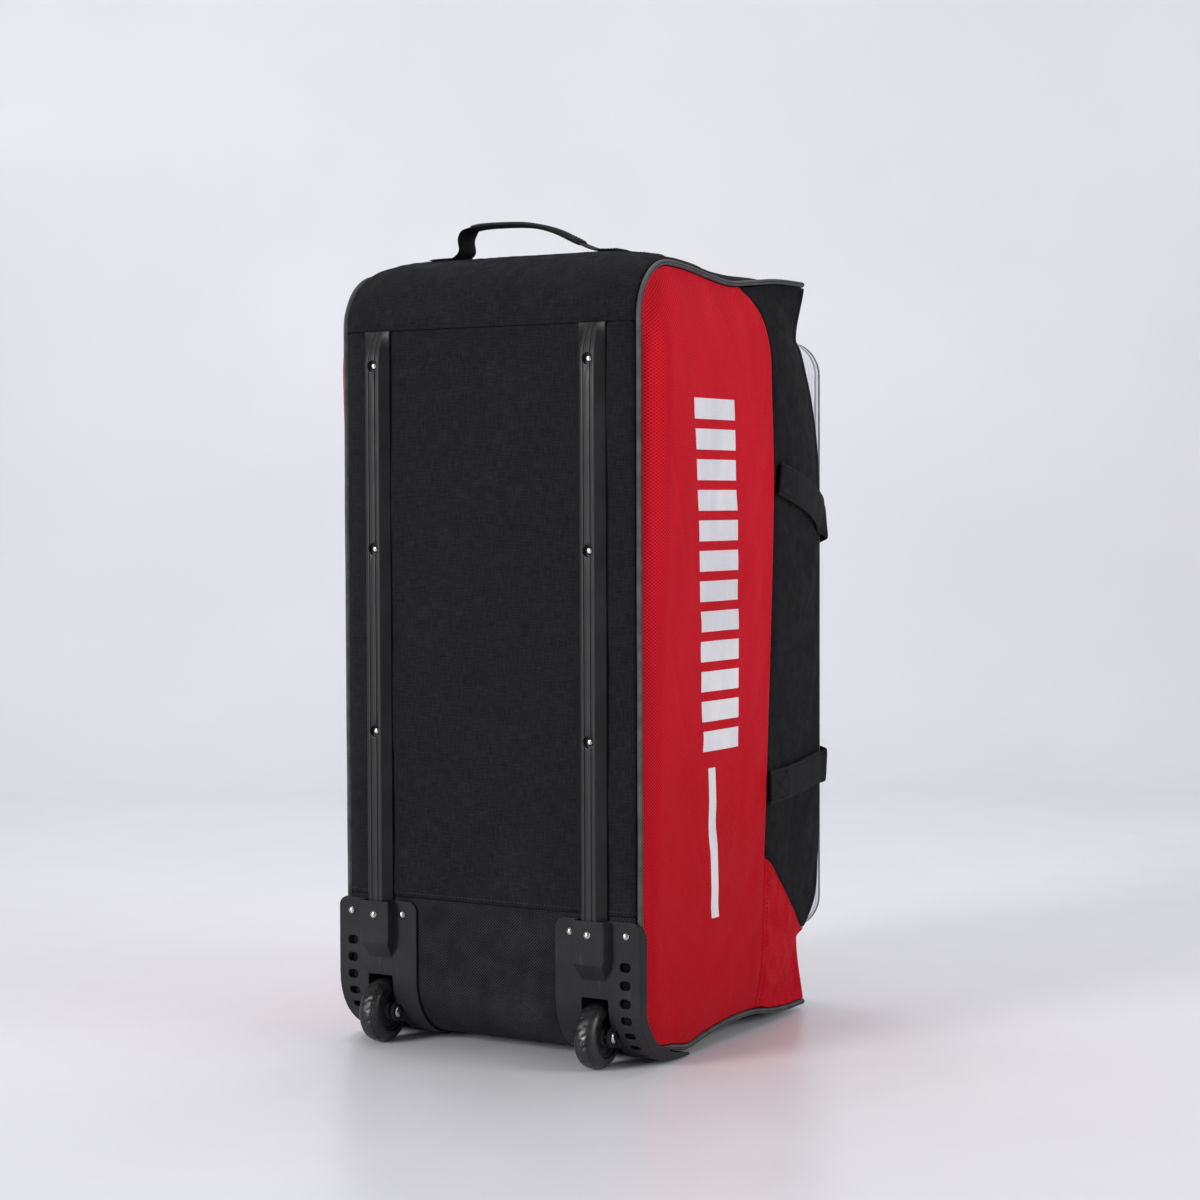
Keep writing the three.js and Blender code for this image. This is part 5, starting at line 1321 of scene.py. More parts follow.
def tube(name, path, section, start_out, material):
    """A section of [radius] by angle carried along a path without twist."""
    out = np.array(start_out, float)
    rings = []
    angles = np.linspace(0, 4 * QUARTER, len(section), endpoint=False)
    for place, way in zip(path, unit(np.gradient(path, axis=0))):
        out = unit(out - way * np.dot(out, way))
        beside = np.cross(way, out)
        rings.append(place + np.outer(section * np.cos(angles), out) + np.outer(section * np.sin(angles), beside))
    piece = ring_mesh(name, np.array(rings), material, 60)
    write_ring_uv(piece, travel_of(path), np.arange(len(section)) / len(section) * PIPING_ROUND)
    return piece


def piping_path():
    """Half of a side's cord: from the middle of the front foot, up the back, to the middle of the front head."""
    straight, turn_y = HALF_SEAM - SEAM_TURN, FRONT_SEAM - SEAM_TURN
    run = np.linspace(GAP / 2, straight, 20)
    turn = np.linspace(QUARTER, 0, 9)

    def front_run(height):
        level = np.column_stack([run, np.full(20, FRONT_SEAM), np.full(20, height)])
        bend = [straight + SEAM_TURN * np.cos(turn), turn_y + SEAM_TURN * np.sin(turn), np.full(9, height)]
        return np.vstack([level, np.column_stack(bend)[1:]])

    def at_side(y, z):
        return np.column_stack([np.full(len(y), HALF_SEAM), y, z])
    foot_y = np.linspace(turn_y, CORNER_Y, 60)[1:-1]
    back_z = np.linspace(CORNER_Z, TOP_CORNER_Z, 90)[1:-1]
    top_y = np.linspace(TOP_CORNER_Y, turn_y, 70)[1:-1]
    return np.vstack([
        front_run(float(foot_seam_z(FRONT_SEAM))),
        at_side(foot_y, foot_seam_z(foot_y)),
        at_side(*arc_pairs(CORNER_Y, CORNER_Z, SEAM_CORNER, 3 * QUARTER, 2 * QUARTER, 26).T),
        at_side(np.full(len(back_z), SEAM_BACK), back_z),
        at_side(*arc_pairs(TOP_CORNER_Y, TOP_CORNER_Z, TOP_RADIUS, 2 * QUARTER, QUARTER, 30).T),
        at_side(top_y, top_seam_z(top_y)),
        front_run(float(top_seam_z(FRONT_SEAM)))[::-1]])


def make_piping(side_name, side):
    path = piping_path()
    wander = 0.35 * patchwork_noise(np.arange(len(path)) / 7.0, np.full(len(path), 2.5), 61 + int(side))
    path[:, 0] += wander * (np.abs(path[:, 0] - HALF_SEAM) < 0.5)
    angles = np.linspace(0, 4 * QUARTER, 20, endpoint=False)
    gap = np.abs((angles - 7 * QUARTER / 2 + 2 * QUARTER) % (4 * QUARTER) - 2 * QUARTER)
    section = PIPING - 0.9 * np.exp(-(gap / 0.2) ** 2)
    piece = tube(f"piping_cord_{side_name}", on_side(path, 1), section, (0, 0, -1), grey_piping)
    if side < 0:
        piece.data.transform(Matrix.Scale(-1, 4, (1, 0, 0)))
        piece.data.flip_normals()
    fit(piece, [f"piping_{side_name}"])


# ---- Rails, guards and wheels ----

def make_rail():
    half, face = RAIL_BASE / 2, RAIL_FACE / 2
    section = [(-half, 0.0), (-half, RAIL_LIP), (-half + 1.2, RAIL_LIP + 0.6), (-face - 0.9, RAIL_STAND - 0.7),
               (-face + 0.5, RAIL_STAND)]
    section += [(-GROOVE_X + step, RAIL_STAND - deep)
                for step, deep in ((-GROOVE, 0), (-0.5, GROOVE), (0.5, GROOVE), (GROOVE, 0))]
    section = np.array(section + [(-x, y) for x, y in section[::-1]])
    ramp_start = RAIL_HEAD - RAIL_RAMP
    heights = np.concatenate([np.linspace(RAIL_FOOT, ramp_start - 6, 24), ramp_start + np.array([-3, -1, 1, 3]),
                              np.linspace(ramp_start + 6, RAIL_HEAD - 1.5, 8), [RAIL_HEAD]])[:, None]
    ramp_share = np.clip((heights - ramp_start) / RAIL_RAMP, 0, 1)
    soft = 0.64 * np.exp(-((heights - ramp_start) / 4) ** 2)
    top = lerp(RAIL_STAND, RAIL_LIP + 0.6, ramp_share) - soft
    drop = np.clip(section[:, 1] - RAIL_LIP, 0, None) / (RAIL_STAND - RAIL_LIP)
    depth = np.minimum(section[:, 1], RAIL_LIP) + drop * (top - RAIL_LIP)
    narrow = lerp(1.0, 0.78, ramp_share * drop)
    rings = np.stack([RAIL_X + section[:, 0] * narrow, RAIL_Y - depth, heights + 0 * depth], -1)
    rail = ring_mesh("rail_right_moulding", rings, rail_plastic)
    front = RAIL_Y - RAIL_STAND
    sinks = [prism_y(arc_pairs(RAIL_X, z, SINK_RADIUS, 0, 4 * QUARTER, 40)[:-1], front - 1, front + SINK_DEPTH)
             for z in RIVET_ROWS]
    carve(rail, sinks, "DIFFERENCE")
    bevelled(rail, 0.45, 2, 40)
    smooth_shading(rail, 40)
    return rail


def guard_arc(radius):
    return arc_pairs(CORNER_Y, CORNER_Z, radius, 2 * QUARTER, 3 * QUARTER, 28)


def make_guard():
    outer = np.vstack([[0, GUARD_HEAD], guard_arc(GUARD_CORNER), [MESH_SEAM_Y, GUARD_TIP]])
    inner = np.vstack([[GUARD_PLATE, GUARD_HEAD], guard_arc(GUARD_CORNER - GUARD_PLATE),
                       [MESH_SEAM_Y, GUARD_TIP + GUARD_PLATE]])
    guard = prism_x(np.vstack([outer, inner[::-1]]), GUARD_INNER, GUARD_OUTER, "wheel_guard_right_moulding")
    rim_radius = GUARD_CORNER - FLANGE * 0.9
    flange_inner = np.vstack([
        [FLANGE * 0.5, GUARD_HEAD - 2], [FLANGE, GUARD_HEAD - FLANGE * 1.2], [FLANGE * 0.97, CORNER_Z],
        guard_arc(rim_radius)[1:-1], [CORNER_Y - FLANGE * 0.6, GUARD_FOOT + FLANGE * 0.74],
        [lerp(CORNER_Y, MESH_SEAM_Y, 0.4), FLANGE * 0.5], [MESH_SEAM_Y, GUARD_TIP + GUARD_PLATE + GAP]])
    flange = prism_x(np.vstack([outer, flange_inner[::-1]]), GUARD_OUTER - GUARD_PLATE, GUARD_OUTER)
    sleeve_face = RAIL_Y - RAIL_STAND - GAP - GUARD_PLATE
    sleeve_half = RAIL_BASE / 2 + GAP + GUARD_PLATE
    sleeve = prism_x([(0.5, GUARD_HEAD), (sleeve_face, GUARD_HEAD), (sleeve_face, SLEEVE_FOOT + SLEEVE_RAMP),
                      (0.5, SLEEVE_FOOT)], RAIL_X - sleeve_half, RAIL_X + sleeve_half)
    low, high = SLEEVE_FOOT - 3, SLEEVE_FOOT + SLEEVE_RAMP + 6
    taper = [(-sleeve_half - 9, low), (-sleeve_half + 5, low), (-sleeve_half - 0.01, high), (-sleeve_half - 9, high)]
    carve(sleeve, [prism_y([(RAIL_X + side * x, z) for x, z in taper], sleeve_face - 5, 0.4) for side in (1, -1)],
          "DIFFERENCE")
    behind = prism_x(np.vstack([outer[1:], [MESH_SEAM_Y, CORNER_Z * 1.8], [0, CORNER_Z * 1.8]]),
                     GUARD_INNER, GUARD_OUTER)
    reach = WELL_HALF + CHEEK

    def drum(radius, low, high):
        return prism_x(arc_pairs(WHEEL_Y, WHEEL_RADIUS, radius, 0, 4 * QUARTER, 64)[:-1], low, high)
    well = carve(drum(WELL_RADIUS + WELL_WALL, WHEEL_X - reach, WHEEL_X + reach), [behind], "INTERSECT")
    boss = arc_pairs(WHEEL_Y, WHEEL_RADIUS, BOSS, QUARTER - 0.1, 3 * QUARTER + 0.1, 20)
    fin = np.vstack([[CORNER_Y * 0.16, WHEEL_RADIUS * 1.75], boss, [CORNER_Y * 0.3, WHEEL_RADIUS * 0.6],
                     [CORNER_Y * 0.5, WHEEL_RADIUS]])
    fins = [prism_x(fin, *sorted((WHEEL_X + side * (WELL_HALF - 0.5), WHEEL_X + side * (reach - 0.01))))
            for side in (-1, 1)]
    carve(guard, [flange, sleeve, well, *fins], "UNION")
    near, far, low, high = sleeve_face + GUARD_PLATE, GUARD_PLATE + 1, RAIL_FOOT - GAP, GUARD_HEAD + 1
    channel = prism_x([(near, low), (far, low), (far, high), (near, high)],
                      RAIL_X - RAIL_BASE / 2 - GAP, RAIL_X + RAIL_BASE / 2 + GAP)
    head_reach = reach + AXLE_CAP + 3 * GAP
    cuts = [channel, drum(WELL_RADIUS, WHEEL_X - WELL_HALF, WHEEL_X + WELL_HALF),
            drum(AXLE + 2 * GAP, GUARD_INNER - 1, GUARD_OUTER + 1),
            drum(AXLE_HEAD + 2 * GAP, WHEEL_X - head_reach, WHEEL_X - reach + 0.05),
            drum(AXLE_HEAD + 2 * GAP, WHEEL_X + reach - 0.05, WHEEL_X + head_reach)]
    straight = SLOT_FIRST - CORNER_Z
    for k in range(SLOT_COUNT):
        travel = k * SLOT_PITCH
        past = max(travel - straight, 0) / GUARD_CORNER
        wide, high, bevel = SLOT_WIDE / 2, SLOT_HIGH / 2, 2.4
        corner = [(-wide, -high + bevel), (-wide + bevel, -high), (wide - bevel, -high), (wide, -high + bevel)]
        slot = prism_y(corner + [(-x, -z) for x, z in corner], -GUARD_PLATE, GUARD_PLATE * 2)
        height = SLOT_FIRST - travel if travel < straight else CORNER_Z
        centre = Vector(to_frame([0, CORNER_Y, CORNER_Z]))
        slot.data.transform(Matrix.Translation((SLOT_X / 1000, 0, height / 1000)))
        slot.data.transform(Matrix.Translation(centre) @ Matrix.Rotation(past, 4, "X") @ Matrix.Translation(-centre))
        cuts.append(slot)
    carve(guard, cuts, "DIFFERENCE")
    rounded = [(GUARD_INNER, -WHEEL_RADIUS), (GUARD_OUTER, -WHEEL_RADIUS)]
    for x, start in ((GUARD_OUTER - GUARD_ROUND, 0), (GUARD_INNER + GUARD_ROUND, QUARTER)):
        rounded += arc_pairs(x, GUARD_HEAD - GUARD_ROUND, GUARD_ROUND, start, start + QUARTER, 11).tolist()
    carve(guard, [prism_y(rounded, -WHEEL_RADIUS * 2, FRONT_SEAM)], "INTERSECT")
    skin = guard.modifiers.new("moulding", "REMESH")
    skin.mode = "VOXEL"
    skin.voxel_size = 0.0008
    soft = guard.modifiers.new("soft edges", "SMOOTH")
    soft.factor = 0.5
    soft.iterations = 5
    thin = guard.modifiers.new("fewer faces", "DECIMATE")
    thin.ratio = 0.28
    settle(guard)
    guard.data.materials.clear()
    guard.data.materials.append(guard_plastic)
    smooth_shading(guard, 180)
    return guard


def lathe_x(name, profile, centre, material, sides=96, closed=True):
    """A round piece about x from (radius, place along x) pairs in order round its section."""
    radius, x = np.asarray(profile, float).T
    angles = np.linspace(0, 4 * QUARTER, sides, endpoint=False)[:, None]
    rings = np.stack([x + 0 * angles, radius * np.sin(angles), radius * np.cos(angles)], -1) + np.array(centre)
    if not closed:
        rings = rings.swapaxes(0, 1)
    return ring_mesh(name, rings, material, 35, capped=not closed)


TREAD_LUGS = 18


def make_wheel(side_name, side):
    centre = (side * WHEEL_X, WHEEL_Y, WHEEL_RADIUS)
    half, inner = WHEEL_WIDE / 2, WHEEL_RIM + GAP
    x = half * np.sin(np.linspace(-QUARTER, QUARTER, 41))
    crown = (1 - np.abs(x / half) ** 2.8) ** (1 / 2.3)
    radius = inner + (WHEEL_RADIUS - inner) * crown
    for place in (-6.8, 6.8):
        radius -= 0.7 * np.exp(-((x - place) / 0.45) ** 2)
    section = list(zip(radius, x))[1:-1]
    section += [(inner + 0.8, half), (inner, half - 0.6), (inner, -half + 0.6), (inner + 0.8, -half)]
    tyre = lathe_x(f"tyre_tread_{side_name}", section, centre, rubber, 144)
    place = np.array([v.co for v in tyre.data.vertices])
    middle = to_frame(np.array(centre, float))
    off = place - middle
    far = np.linalg.norm(off[:, 1:], axis=1)
    turn = np.arctan2(off[:, 2], off[:, 1])
    for lug_x, phase in ((-0.0042, 0.0), (0.0042, 0.5)):
        lean = turn * TREAD_LUGS / (2 * math.pi) + phase + (off[:, 0] - lug_x) * 30
        notch = np.exp(-((lean - np.round(lean)) / 0.13) ** 2 - ((off[:, 0] - lug_x) / 0.0032) ** 2)
        deep = 0.0011 * notch * (far > 0.029)
        place[:, 1:] -= off[:, 1:] / far[:, None] * deep[:, None]
    tyre.data.vertices.foreach_set("co", place.ravel())
    tyre.data.update()
    fit(tyre, [f"tyre_{side_name}"], f"wheel_{side_name}")
    hub_half, bore = WHEEL_WIDE * 0.44, AXLE + GAP
    nave, dish = bore + 5, 4.0
    one = [(bore, -hub_half), (bore + 0.3, -hub_half - 0.3), (nave - 0.6, -hub_half - 0.3), (nave, -hub_half + 0.3),
           (nave + 1.2, -hub_half + dish + 0.5), (WHEEL_RIM - dish, -hub_half + dish),
           (WHEEL_RIM - 1.6, -hub_half + 0.6), (WHEEL_RIM - 0.8, -hub_half), (WHEEL_RIM, -hub_half + 0.5)]
    other = [(r, -x) for r, x in one[::-1]]
    fit(lathe_x(f"hub_moulding_{side_name}", one + other, centre, hub_plastic, 72), [f"hub_{side_name}"],
        f"wheel_{side_name}")
    reach = WELL_HALF + CHEEK + GAP
    end = reach + AXLE_CAP
    cap = [(0.01, end), (2.2, end - 0.1), (AXLE_HEAD * 0.7, end - 0.35), (AXLE_HEAD * 0.94, reach + AXLE_CAP * 0.5),
           (AXLE_HEAD, reach + 0.6), (AXLE_HEAD - 0.2, reach), (AXLE, reach)]
    profile = [(r, -x) for r, x in cap] + cap[::-1]
    fit(lathe_x(f"axle_pin_{side_name}", profile, centre, chrome, 40, closed=False), [f"axle_{side_name}"])


# ---- Lid ----

def lid_outline(offset, count=14):
    corners = []
    for turn, (right, up) in enumerate(((1, 1), (-1, 1), (-1, -1), (1, -1))):
        corners.append(arc_pairs(right * (HALF_LID - LID_CORNER), LID_MIDDLE + up * (LID_HEIGHT / 2 - LID_CORNER),
                                 LID_CORNER + offset, turn * QUARTER, (turn + 1) * QUARTER, count))
    return np.vstack(corners)


def dense_loop(offset, pitch=4.0):
    loop = lid_outline(offset)
    loop = np.vstack([loop, loop[:1]])
    total = travel_of(loop)[-1]
    count = int(total / pitch)
    return along(loop, np.arange(count) / count), total


def make_lid():
    pipe_start = LID_RIM - LID_PIPE / 2
    depths = np.concatenate([[FRONT_SEAM - LID_WALL_DEPTH], np.linspace(FRONT_SEAM - 8, pipe_start - GAP - 1, 17),
                             [pipe_start - GAP]])
    loop, total = dense_loop(0)
    count = len(loop)
    centre = np.array([0, LID_MIDDLE])
    following = np.roll(loop, -1, axis=0) - np.roll(loop, 1, axis=0)
    out = unit(np.column_stack([following[:, 1], -following[:, 0]]))
    out *= np.sign(np.sum(out * (loop - centre), axis=1).mean())
    travel = np.arange(count) * total / count
    free = ease((depths - FRONT_SEAM) / 25) * ease((LID_RIM - depths) / 18)
    swellings = (1.1 * patchwork_noise(travel[None] / 75, depths[:, None] / 30, 71)
                 + 0.5 * patchwork_noise(travel[None] / 22, depths[:, None] / 22, 72)) * free[:, None]
    waves = 0.45 * np.sin(depths[:, None] * 2 * math.pi / 9.0) * free[:, None]
    push = swellings + waves

    def ring_wall(shift):
        moved = loop + out * shift[..., None]
        return np.stack([moved[..., 0], depths[:, None] + 0 * shift, moved[..., 1]], -1)
    uv = np.stack(np.broadcast_arrays(travel[None], depths[:, None]), -1)
    fit(cloth_wall("lid_wall_cloth", ring_wall(push), ring_wall(0 * push - LID_TAPE), uv, pale_tape, around=True),
        ["lid_wall"])

    ring, total = dense_loop(1 - LID_PIPE / 2, 5.0)
    path = np.column_stack([ring[:, 0], np.full(len(ring), pipe_start + LID_PIPE / 2), ring[:, 1]])
    fit(closed_cord("lid_cord", path, LID_PIPE / 2, dark_piping), ["lid_piping"])

    def denser_at_rim(band, count):
        near = 1 - (np.arange(7) / 7) ** 1.6 * band
        return np.concatenate([-near, np.linspace(band - 1, 1 - band, count), near[::-1]])
    grid_a, grid_b = np.meshgrid(denser_at_rim(0.06, 74), denser_at_rim(0.03, 150))
    size = np.maximum(np.maximum(np.abs(grid_a), np.abs(grid_b)), 1e-9)
    edge_a, edge_b = grid_a / size, grid_b / size
    offset = 1 - LID_PIPE - GAP
    radius, wide, high = LID_CORNER + offset, HALF_LID + offset, LID_HEIGHT / 2 + offset
    turn = radius * QUARTER / 2

    def rim(share, straight):
        travel = np.abs(share) * (straight + turn)
        angle = np.maximum(travel - straight, 0) / radius
        return np.minimum(travel, straight) + radius * np.sin(angle), radius * (1 - np.cos(angle))
    side_z, side_in = rim(edge_b, high - radius)
    top_x, top_in = rim(edge_a, wide - radius)
    on_side_edge = np.abs(edge_a) >= np.abs(edge_b)
    x = np.where(on_side_edge, np.sign(edge_a) * (wide - side_in), np.sign(edge_a) * top_x) * size
    z = np.where(on_side_edge, np.sign(edge_b) * side_z, np.sign(edge_b) * (high - top_in)) * size + LID_MIDDLE
    lid = Panel(np.stack([x, lid_face(x, z), z], -1), (0, 1, 0), np.stack([x, z], -1))
    x, z = lid.uv[..., 0], lid.uv[..., 1]
    lid.fold(1.8 * patchwork_noise(x / 85, z / 110, 81) + 0.9 * patchwork_noise(x / 34, z / 48, 82)
             + 1.2 * creases((x + 0.6 * z) / 80, (z - x) / 140, 83))
    lid.slump(0.014, 1.8, pitch=11.0)
    lid.hold_down(2.4)
    lid.gather(84, "lrfh", 0.5)
    lid.roll("lrfh", 1.0)
    fit(lid.sewn("lid_cloth", black_cloth, LID_TAPE), ["lid_panel"])
    for side in "lrfh":
        sew("black", lid.line(side, 7.0))


def closed_cord(name, path, radius, material, sides=12):
    way = unit(np.roll(path, -1, axis=0) - np.roll(path, 1, axis=0))
    depth = np.array([0, 1.0, 0])
    angles = np.linspace(0, 4 * QUARTER, sides, endpoint=False)[None, :, None]
    rings = (path[:, None] + radius * np.cos(angles) * np.cross(way, depth)[:, None]
             + radius * np.sin(angles) * depth)
    piece = ring_mesh(name, rings, material, 60, capped=False)
    travel = np.arange(len(path)) * np.linalg.norm(path[1] - path[0])
    write_ring_uv(piece, travel, np.arange(sides) / sides * 12)
    return piece


def border_grid(toward):
    lid_end = LID_HEAD if toward > 0 else LID_FOOT
    seam_z = (float(top_seam_z(FRONT_SEAM)) - SIDE_INSET if toward > 0
              else float(foot_seam_z(FRONT_SEAM)) + SIDE_INSET)
    middle_x, middle_z = HALF_LID - LID_CORNER, lid_end - toward * LID_CORNER
    radius = LID_CORNER + GAP

    def limit(z):
        return side_frame(FRONT_SEAM - LID_WALL_DEPTH, z) - CLOTH - 2 * GAP
    start_z = middle_z + toward * radius * math.sin(QUARTER / 5)
    angles = np.linspace(QUARTER / 3, QUARTER, 17)
    arc = np.column_stack([middle_x + radius * np.cos(angles), middle_z + toward * radius * np.sin(angles)])
    begin = np.array([float(limit(start_z)), start_z])
    entry = begin + (arc[0] - begin) * np.linspace(0, 1, 5)[:-1, None]
    run = np.column_stack([np.linspace(middle_x, 0, 26)[1:], np.full(25, lid_end + toward * GAP)])
    half = np.vstack([entry, arc, run])
    knots = np.concatenate([np.linspace(0, 1, 5)[:-1], np.linspace(1, 5, 17), 5 + np.linspace(0, 1, 26)[1:]])
    shares = np.interp(knots, range(7), [1, 0.93, 0.86, 0.8, 0.76, 0.72, 0])
    inner = np.vstack([half, (half * [-1, 1])[::-1][1:]])
    outer = np.concatenate([shares, -shares[::-1][1:]])
    pinch = -FRONT_REACH[0][1] * LID_STAND
    v = spread(52, 3.5)[:, None]
    z = lerp(inner[None, :, 1], seam_z, v)
    share = lerp(inner[None, :, 0] / limit(inner[None, :, 1]), outer[None], v)
    climb = np.clip((z - lid_end) / (seam_z - lid_end), 0, 1)
    return np.stack([share * limit(z), FRONT_SEAM - pinch * (1 - climb ** 2), z], -1)


def make_borders():
    for toward, name, finish, slot, seed in ((1, "top", black_cloth, "black_cloth", 91),
                                             (-1, "bottom", red_weave, "red_weave", 95)):
        grid = border_grid(toward)
        border = Panel(grid, (0, 1, 0), grid[..., [0, 2]])
        x, z = border.uv[..., 0], border.uv[..., 1]
        border.fold(0.8 * patchwork_noise(x / 50, z / 30, seed) + 0.5 * creases(x / 40, z / 30, seed + 1), 8.0)
        fit(border.sewn(f"{name}_border_cloth", finish), [f"{name}_border"])


# ---- Webbing handles ----

def strap_mesh(name, places, ways, outs, widths, thicks, material, columns=9):
    """A strap along a line: flat faces with softly rounded edges, closed at both ends."""
    u = np.linspace(-1, 1, columns)
    beside = unit(np.cross(outs, ways))
    face = np.cross(ways, beside)
    face *= np.sign(np.sum(face * outs, axis=1, keepdims=True))
    halves, heights = np.asarray(widths)[:, None] / 2, np.asarray(thicks)[:, None]
    across = halves * np.concatenate([u, u[::-1]])
    bulge = np.maximum(0.5 * (1 - np.abs(u) ** 6), 0.12)
    rise = heights * np.concatenate([bulge, -bulge[::-1]])
    rings = places[:, None] + across[..., None] * beside[:, None] + rise[..., None] * face[:, None]
    piece = ring_mesh(name, rings, material, 50)
    write_ring_uv(piece, travel_of(places), across)
    return piece


def strap_places(side):
    rows = []
    for depth, height, across, lie in STRAP_LINE:
        z = LID_FOOT + LID_HEIGHT * height
        room = GAP + WEBBING / 2
        spread_z = z + np.array([-0.5, -0.25, 0, 0.25, 0.5]) * STRAP_WIDE
        if lie == 0:
            y = LID_RIM * depth - (5 if depth > 0.97 else 0)
            x = float(np.max(side_x(np.minimum(y, front_edge_y(spread_z)), spread_z)))
            rows.append((x + room + STRAP_ROOM, y, z))
        elif lie < 1:
            rows.append((HALF_LID + 6.5, LID_RIM + 4.5, z))
        else:
            x = HALF_LID * across
            near = [float(np.max(lid_face(x + s * STRAP_WIDE, spread_z))) for s in (-0.5, 0, 0.5)]
            rows.append((x, max(*near, LID_RIM + LID_PIPE - 2) + room + GAP, z))
    return on_side(np.array(rows), side)


def strap_frames(places, lies, side):
    outs = np.stack([side * np.cos(lies), np.sin(lies), 0 * lies], 1)
    return unit(np.gradient(places, axis=0)), outs


def make_carry_handle(side_name, side):
    shares = np.linspace(0, 1, 190)
    places = loose_curve(strap_places(side), shares)
    lies = np.interp(shares * (len(STRAP_LINE) - 1), range(len(STRAP_LINE)), [row[3] for row in STRAP_LINE]) * QUARTER
    ways, outs = strap_frames(places, lies, side)
    travel = travel_of(places)
    ripple = 0.35 * patchwork_noise(travel / 16, travel * 0 + 5, 101 + int(side))
    places = places + outs * ripple[:, None]
    widths = STRAP_WIDE + 0.5 * patchwork_noise(travel / 30, travel * 0 + 9, 103)
    strap = strap_mesh(f"carry_handle_strap_{side_name}", places, ways, outs, widths, np.full(190, WEBBING), webbing)
    fit(strap, [f"carry_handle_{side_name}"])
    for start, end in ((2, 46), (travel[-1] - 46, travel[-1] - 2)):
        box_stitch(places, ways, outs, travel, start, end, STRAP_WIDE)
    lift = strap_top(STRAP_WIDE / 2 - 3, STRAP_WIDE, WEBBING)
    beside = unit(np.cross(outs, ways))
    keep = slice(30, 160)
    for edge in (-1, 1):
        line = places + beside * edge * (STRAP_WIDE / 2 - 3) + outs * lift
        sew("black", (line[keep], outs[keep]), 4.6)


def strap_top(across, wide, thick):
    """How far a strap's face stands above its middle layer, at a place across it."""
    return thick / 2 * (1 - np.abs(2 * across / wide) ** 6) + 0.02


def box_stitch(places, ways, outs, travel, start, end, wide):
    """A box with a cross in it, sewn through a strap's end."""
    half = wide / 2 - 4
    corners = np.array([(start, -half), (start, half), (end, half), (end, -half)])
    for a, b in ((0, 1), (1, 2), (2, 3), (3, 0), (0, 2), (1, 3)):
        distance, across = lerp(corners[a], corners[b], np.linspace(0, 1, 12)[:, None]).T
        place, way, out = (read_rows(distance, travel, rows) for rows in (places, ways, outs))
        line = place + unit(np.cross(out, way)) * across[:, None]
        sew("black", (line + out * strap_top(across, wide, WEBBING)[:, None], out), 3.6)


def top_surface_z(x, y):
    station = top_stations(np.array([float(y)]))[0]
    return station[1] + station[4] * float(crown_shape(abs(x) / station[6], station[5]))


def make_top_handle():
    rows = []
    for across, up in HANDLE_LINE:
        x = across * HANDLE_SPAN
        seat = max(top_surface_z(x, HANDLE_Y + s * HANDLE_WIDE) for s in (-0.5, 0, 0.5)) + GAP + WEBBING / 2
        rows.append((x, HANDLE_Y, seat + up * (HANDLE_RISE - WEBBING / 2)))
    rows = np.array(rows)
    shares = np.linspace(0, 1, 220)
    places = loose_curve(rows, shares)
    ways = unit(np.gradient(places, axis=0))
    outs = np.column_stack([-ways[:, 2], np.zeros(len(ways)), ways[:, 0]])
    place = shares * (len(HANDLE_LINE) - 1)
    gather = ease((place - 4.6) / 1.4) * ease((11.6 - place) / 1.0)
    widths = lerp(HANDLE_WIDE, GRIP_WIDE - 1.5, gather)
    strap = strap_mesh("top_handle_strap", places, ways, outs, widths, np.full(220, WEBBING), webbing)
    inside = (place >= 5.6) & (place <= 10.7)
    grip_places, grip_ways, grip_outs = places[inside], ways[inside], outs[inside]
    count = len(grip_places)
    ends = np.minimum(np.arange(count), np.arange(count)[::-1])
    steps, still = np.arange(count), np.zeros(count)
    thick = GRIP_THICK * (0.86 + 0.14 * ease(ends / 5)) + 0.25 * patchwork_noise(steps / 9.0, still + 4, 111)
    wide = GRIP_WIDE + 0.4 * patchwork_noise(steps / 12.0, still + 6, 112)
    grip = strap_mesh("top_handle_grip", grip_places, grip_ways, grip_outs, wide, thick, webbing, 15)
    fit(strap, ["top_handle"])
    fit(grip, [])
    travel = travel_of(places)
    for start, end in ((1.5, 24), (travel[-1] - 24, travel[-1] - 1.5)):
        box_stitch(places, ways, outs, travel, start, end, HANDLE_WIDE)
    lift = strap_top(GRIP_WIDE / 2 - 3.2, GRIP_WIDE, GRIP_THICK)
    beside = np.array([0, 1.0, 0])
    for across in (-1, 1):
        line = grip_places + beside * across * (GRIP_WIDE / 2 - 3.2) + grip_outs * lift
        sew("black", (line, grip_outs), 4.0)


# ---- Repeated small pieces by Geometry Nodes ----

def node_tree(name, inputs):
    tree = bpy.data.node_groups.new(name, "GeometryNodeTree")
    tree.interface.new_socket("Geometry", in_out="INPUT", socket_type="NodeSocketGeometry")
    sockets = {}
    for label, kind in inputs:
        sockets[label] = tree.interface.new_socket(label, in_out="INPUT", socket_type=kind).identifier
    tree.interface.new_socket("Geometry", in_out="OUTPUT", socket_type="NodeSocketGeometry")
    return tree, sockets, put(tree, "NodeGroupInput").outputs, put(tree, "NodeGroupOutput").inputs


def laid_rotation(tree, slant=None):
    """Turns a small piece so that its z points out of the cloth and its x runs along the row."""
    way, out = (put(tree, "GeometryNodeInputNamedAttribute", {"Name": label}, data_type="FLOAT_VECTOR").outputs[0]
                for label in ("way", "out"))
    first = put(tree, "FunctionNodeAlignRotationToVector", {"Vector": out}, axis="Z").outputs[0]
    second = put(tree, "FunctionNodeAlignRotationToVector", {"Rotation": first, "Vector": way},
                 axis="X", pivot_axis="Z").outputs[0]
    if slant is None:
        return second
    lean = put(tree, "ShaderNodeCombineXYZ", {2: slant}).outputs[0]
    turn = put(tree, "FunctionNodeEulerToRotation", {0: lean}).outputs[0]
    return put(tree, "FunctionNodeRotateRotation", {0: second, 1: turn}, rotation_space="LOCAL").outputs[0]


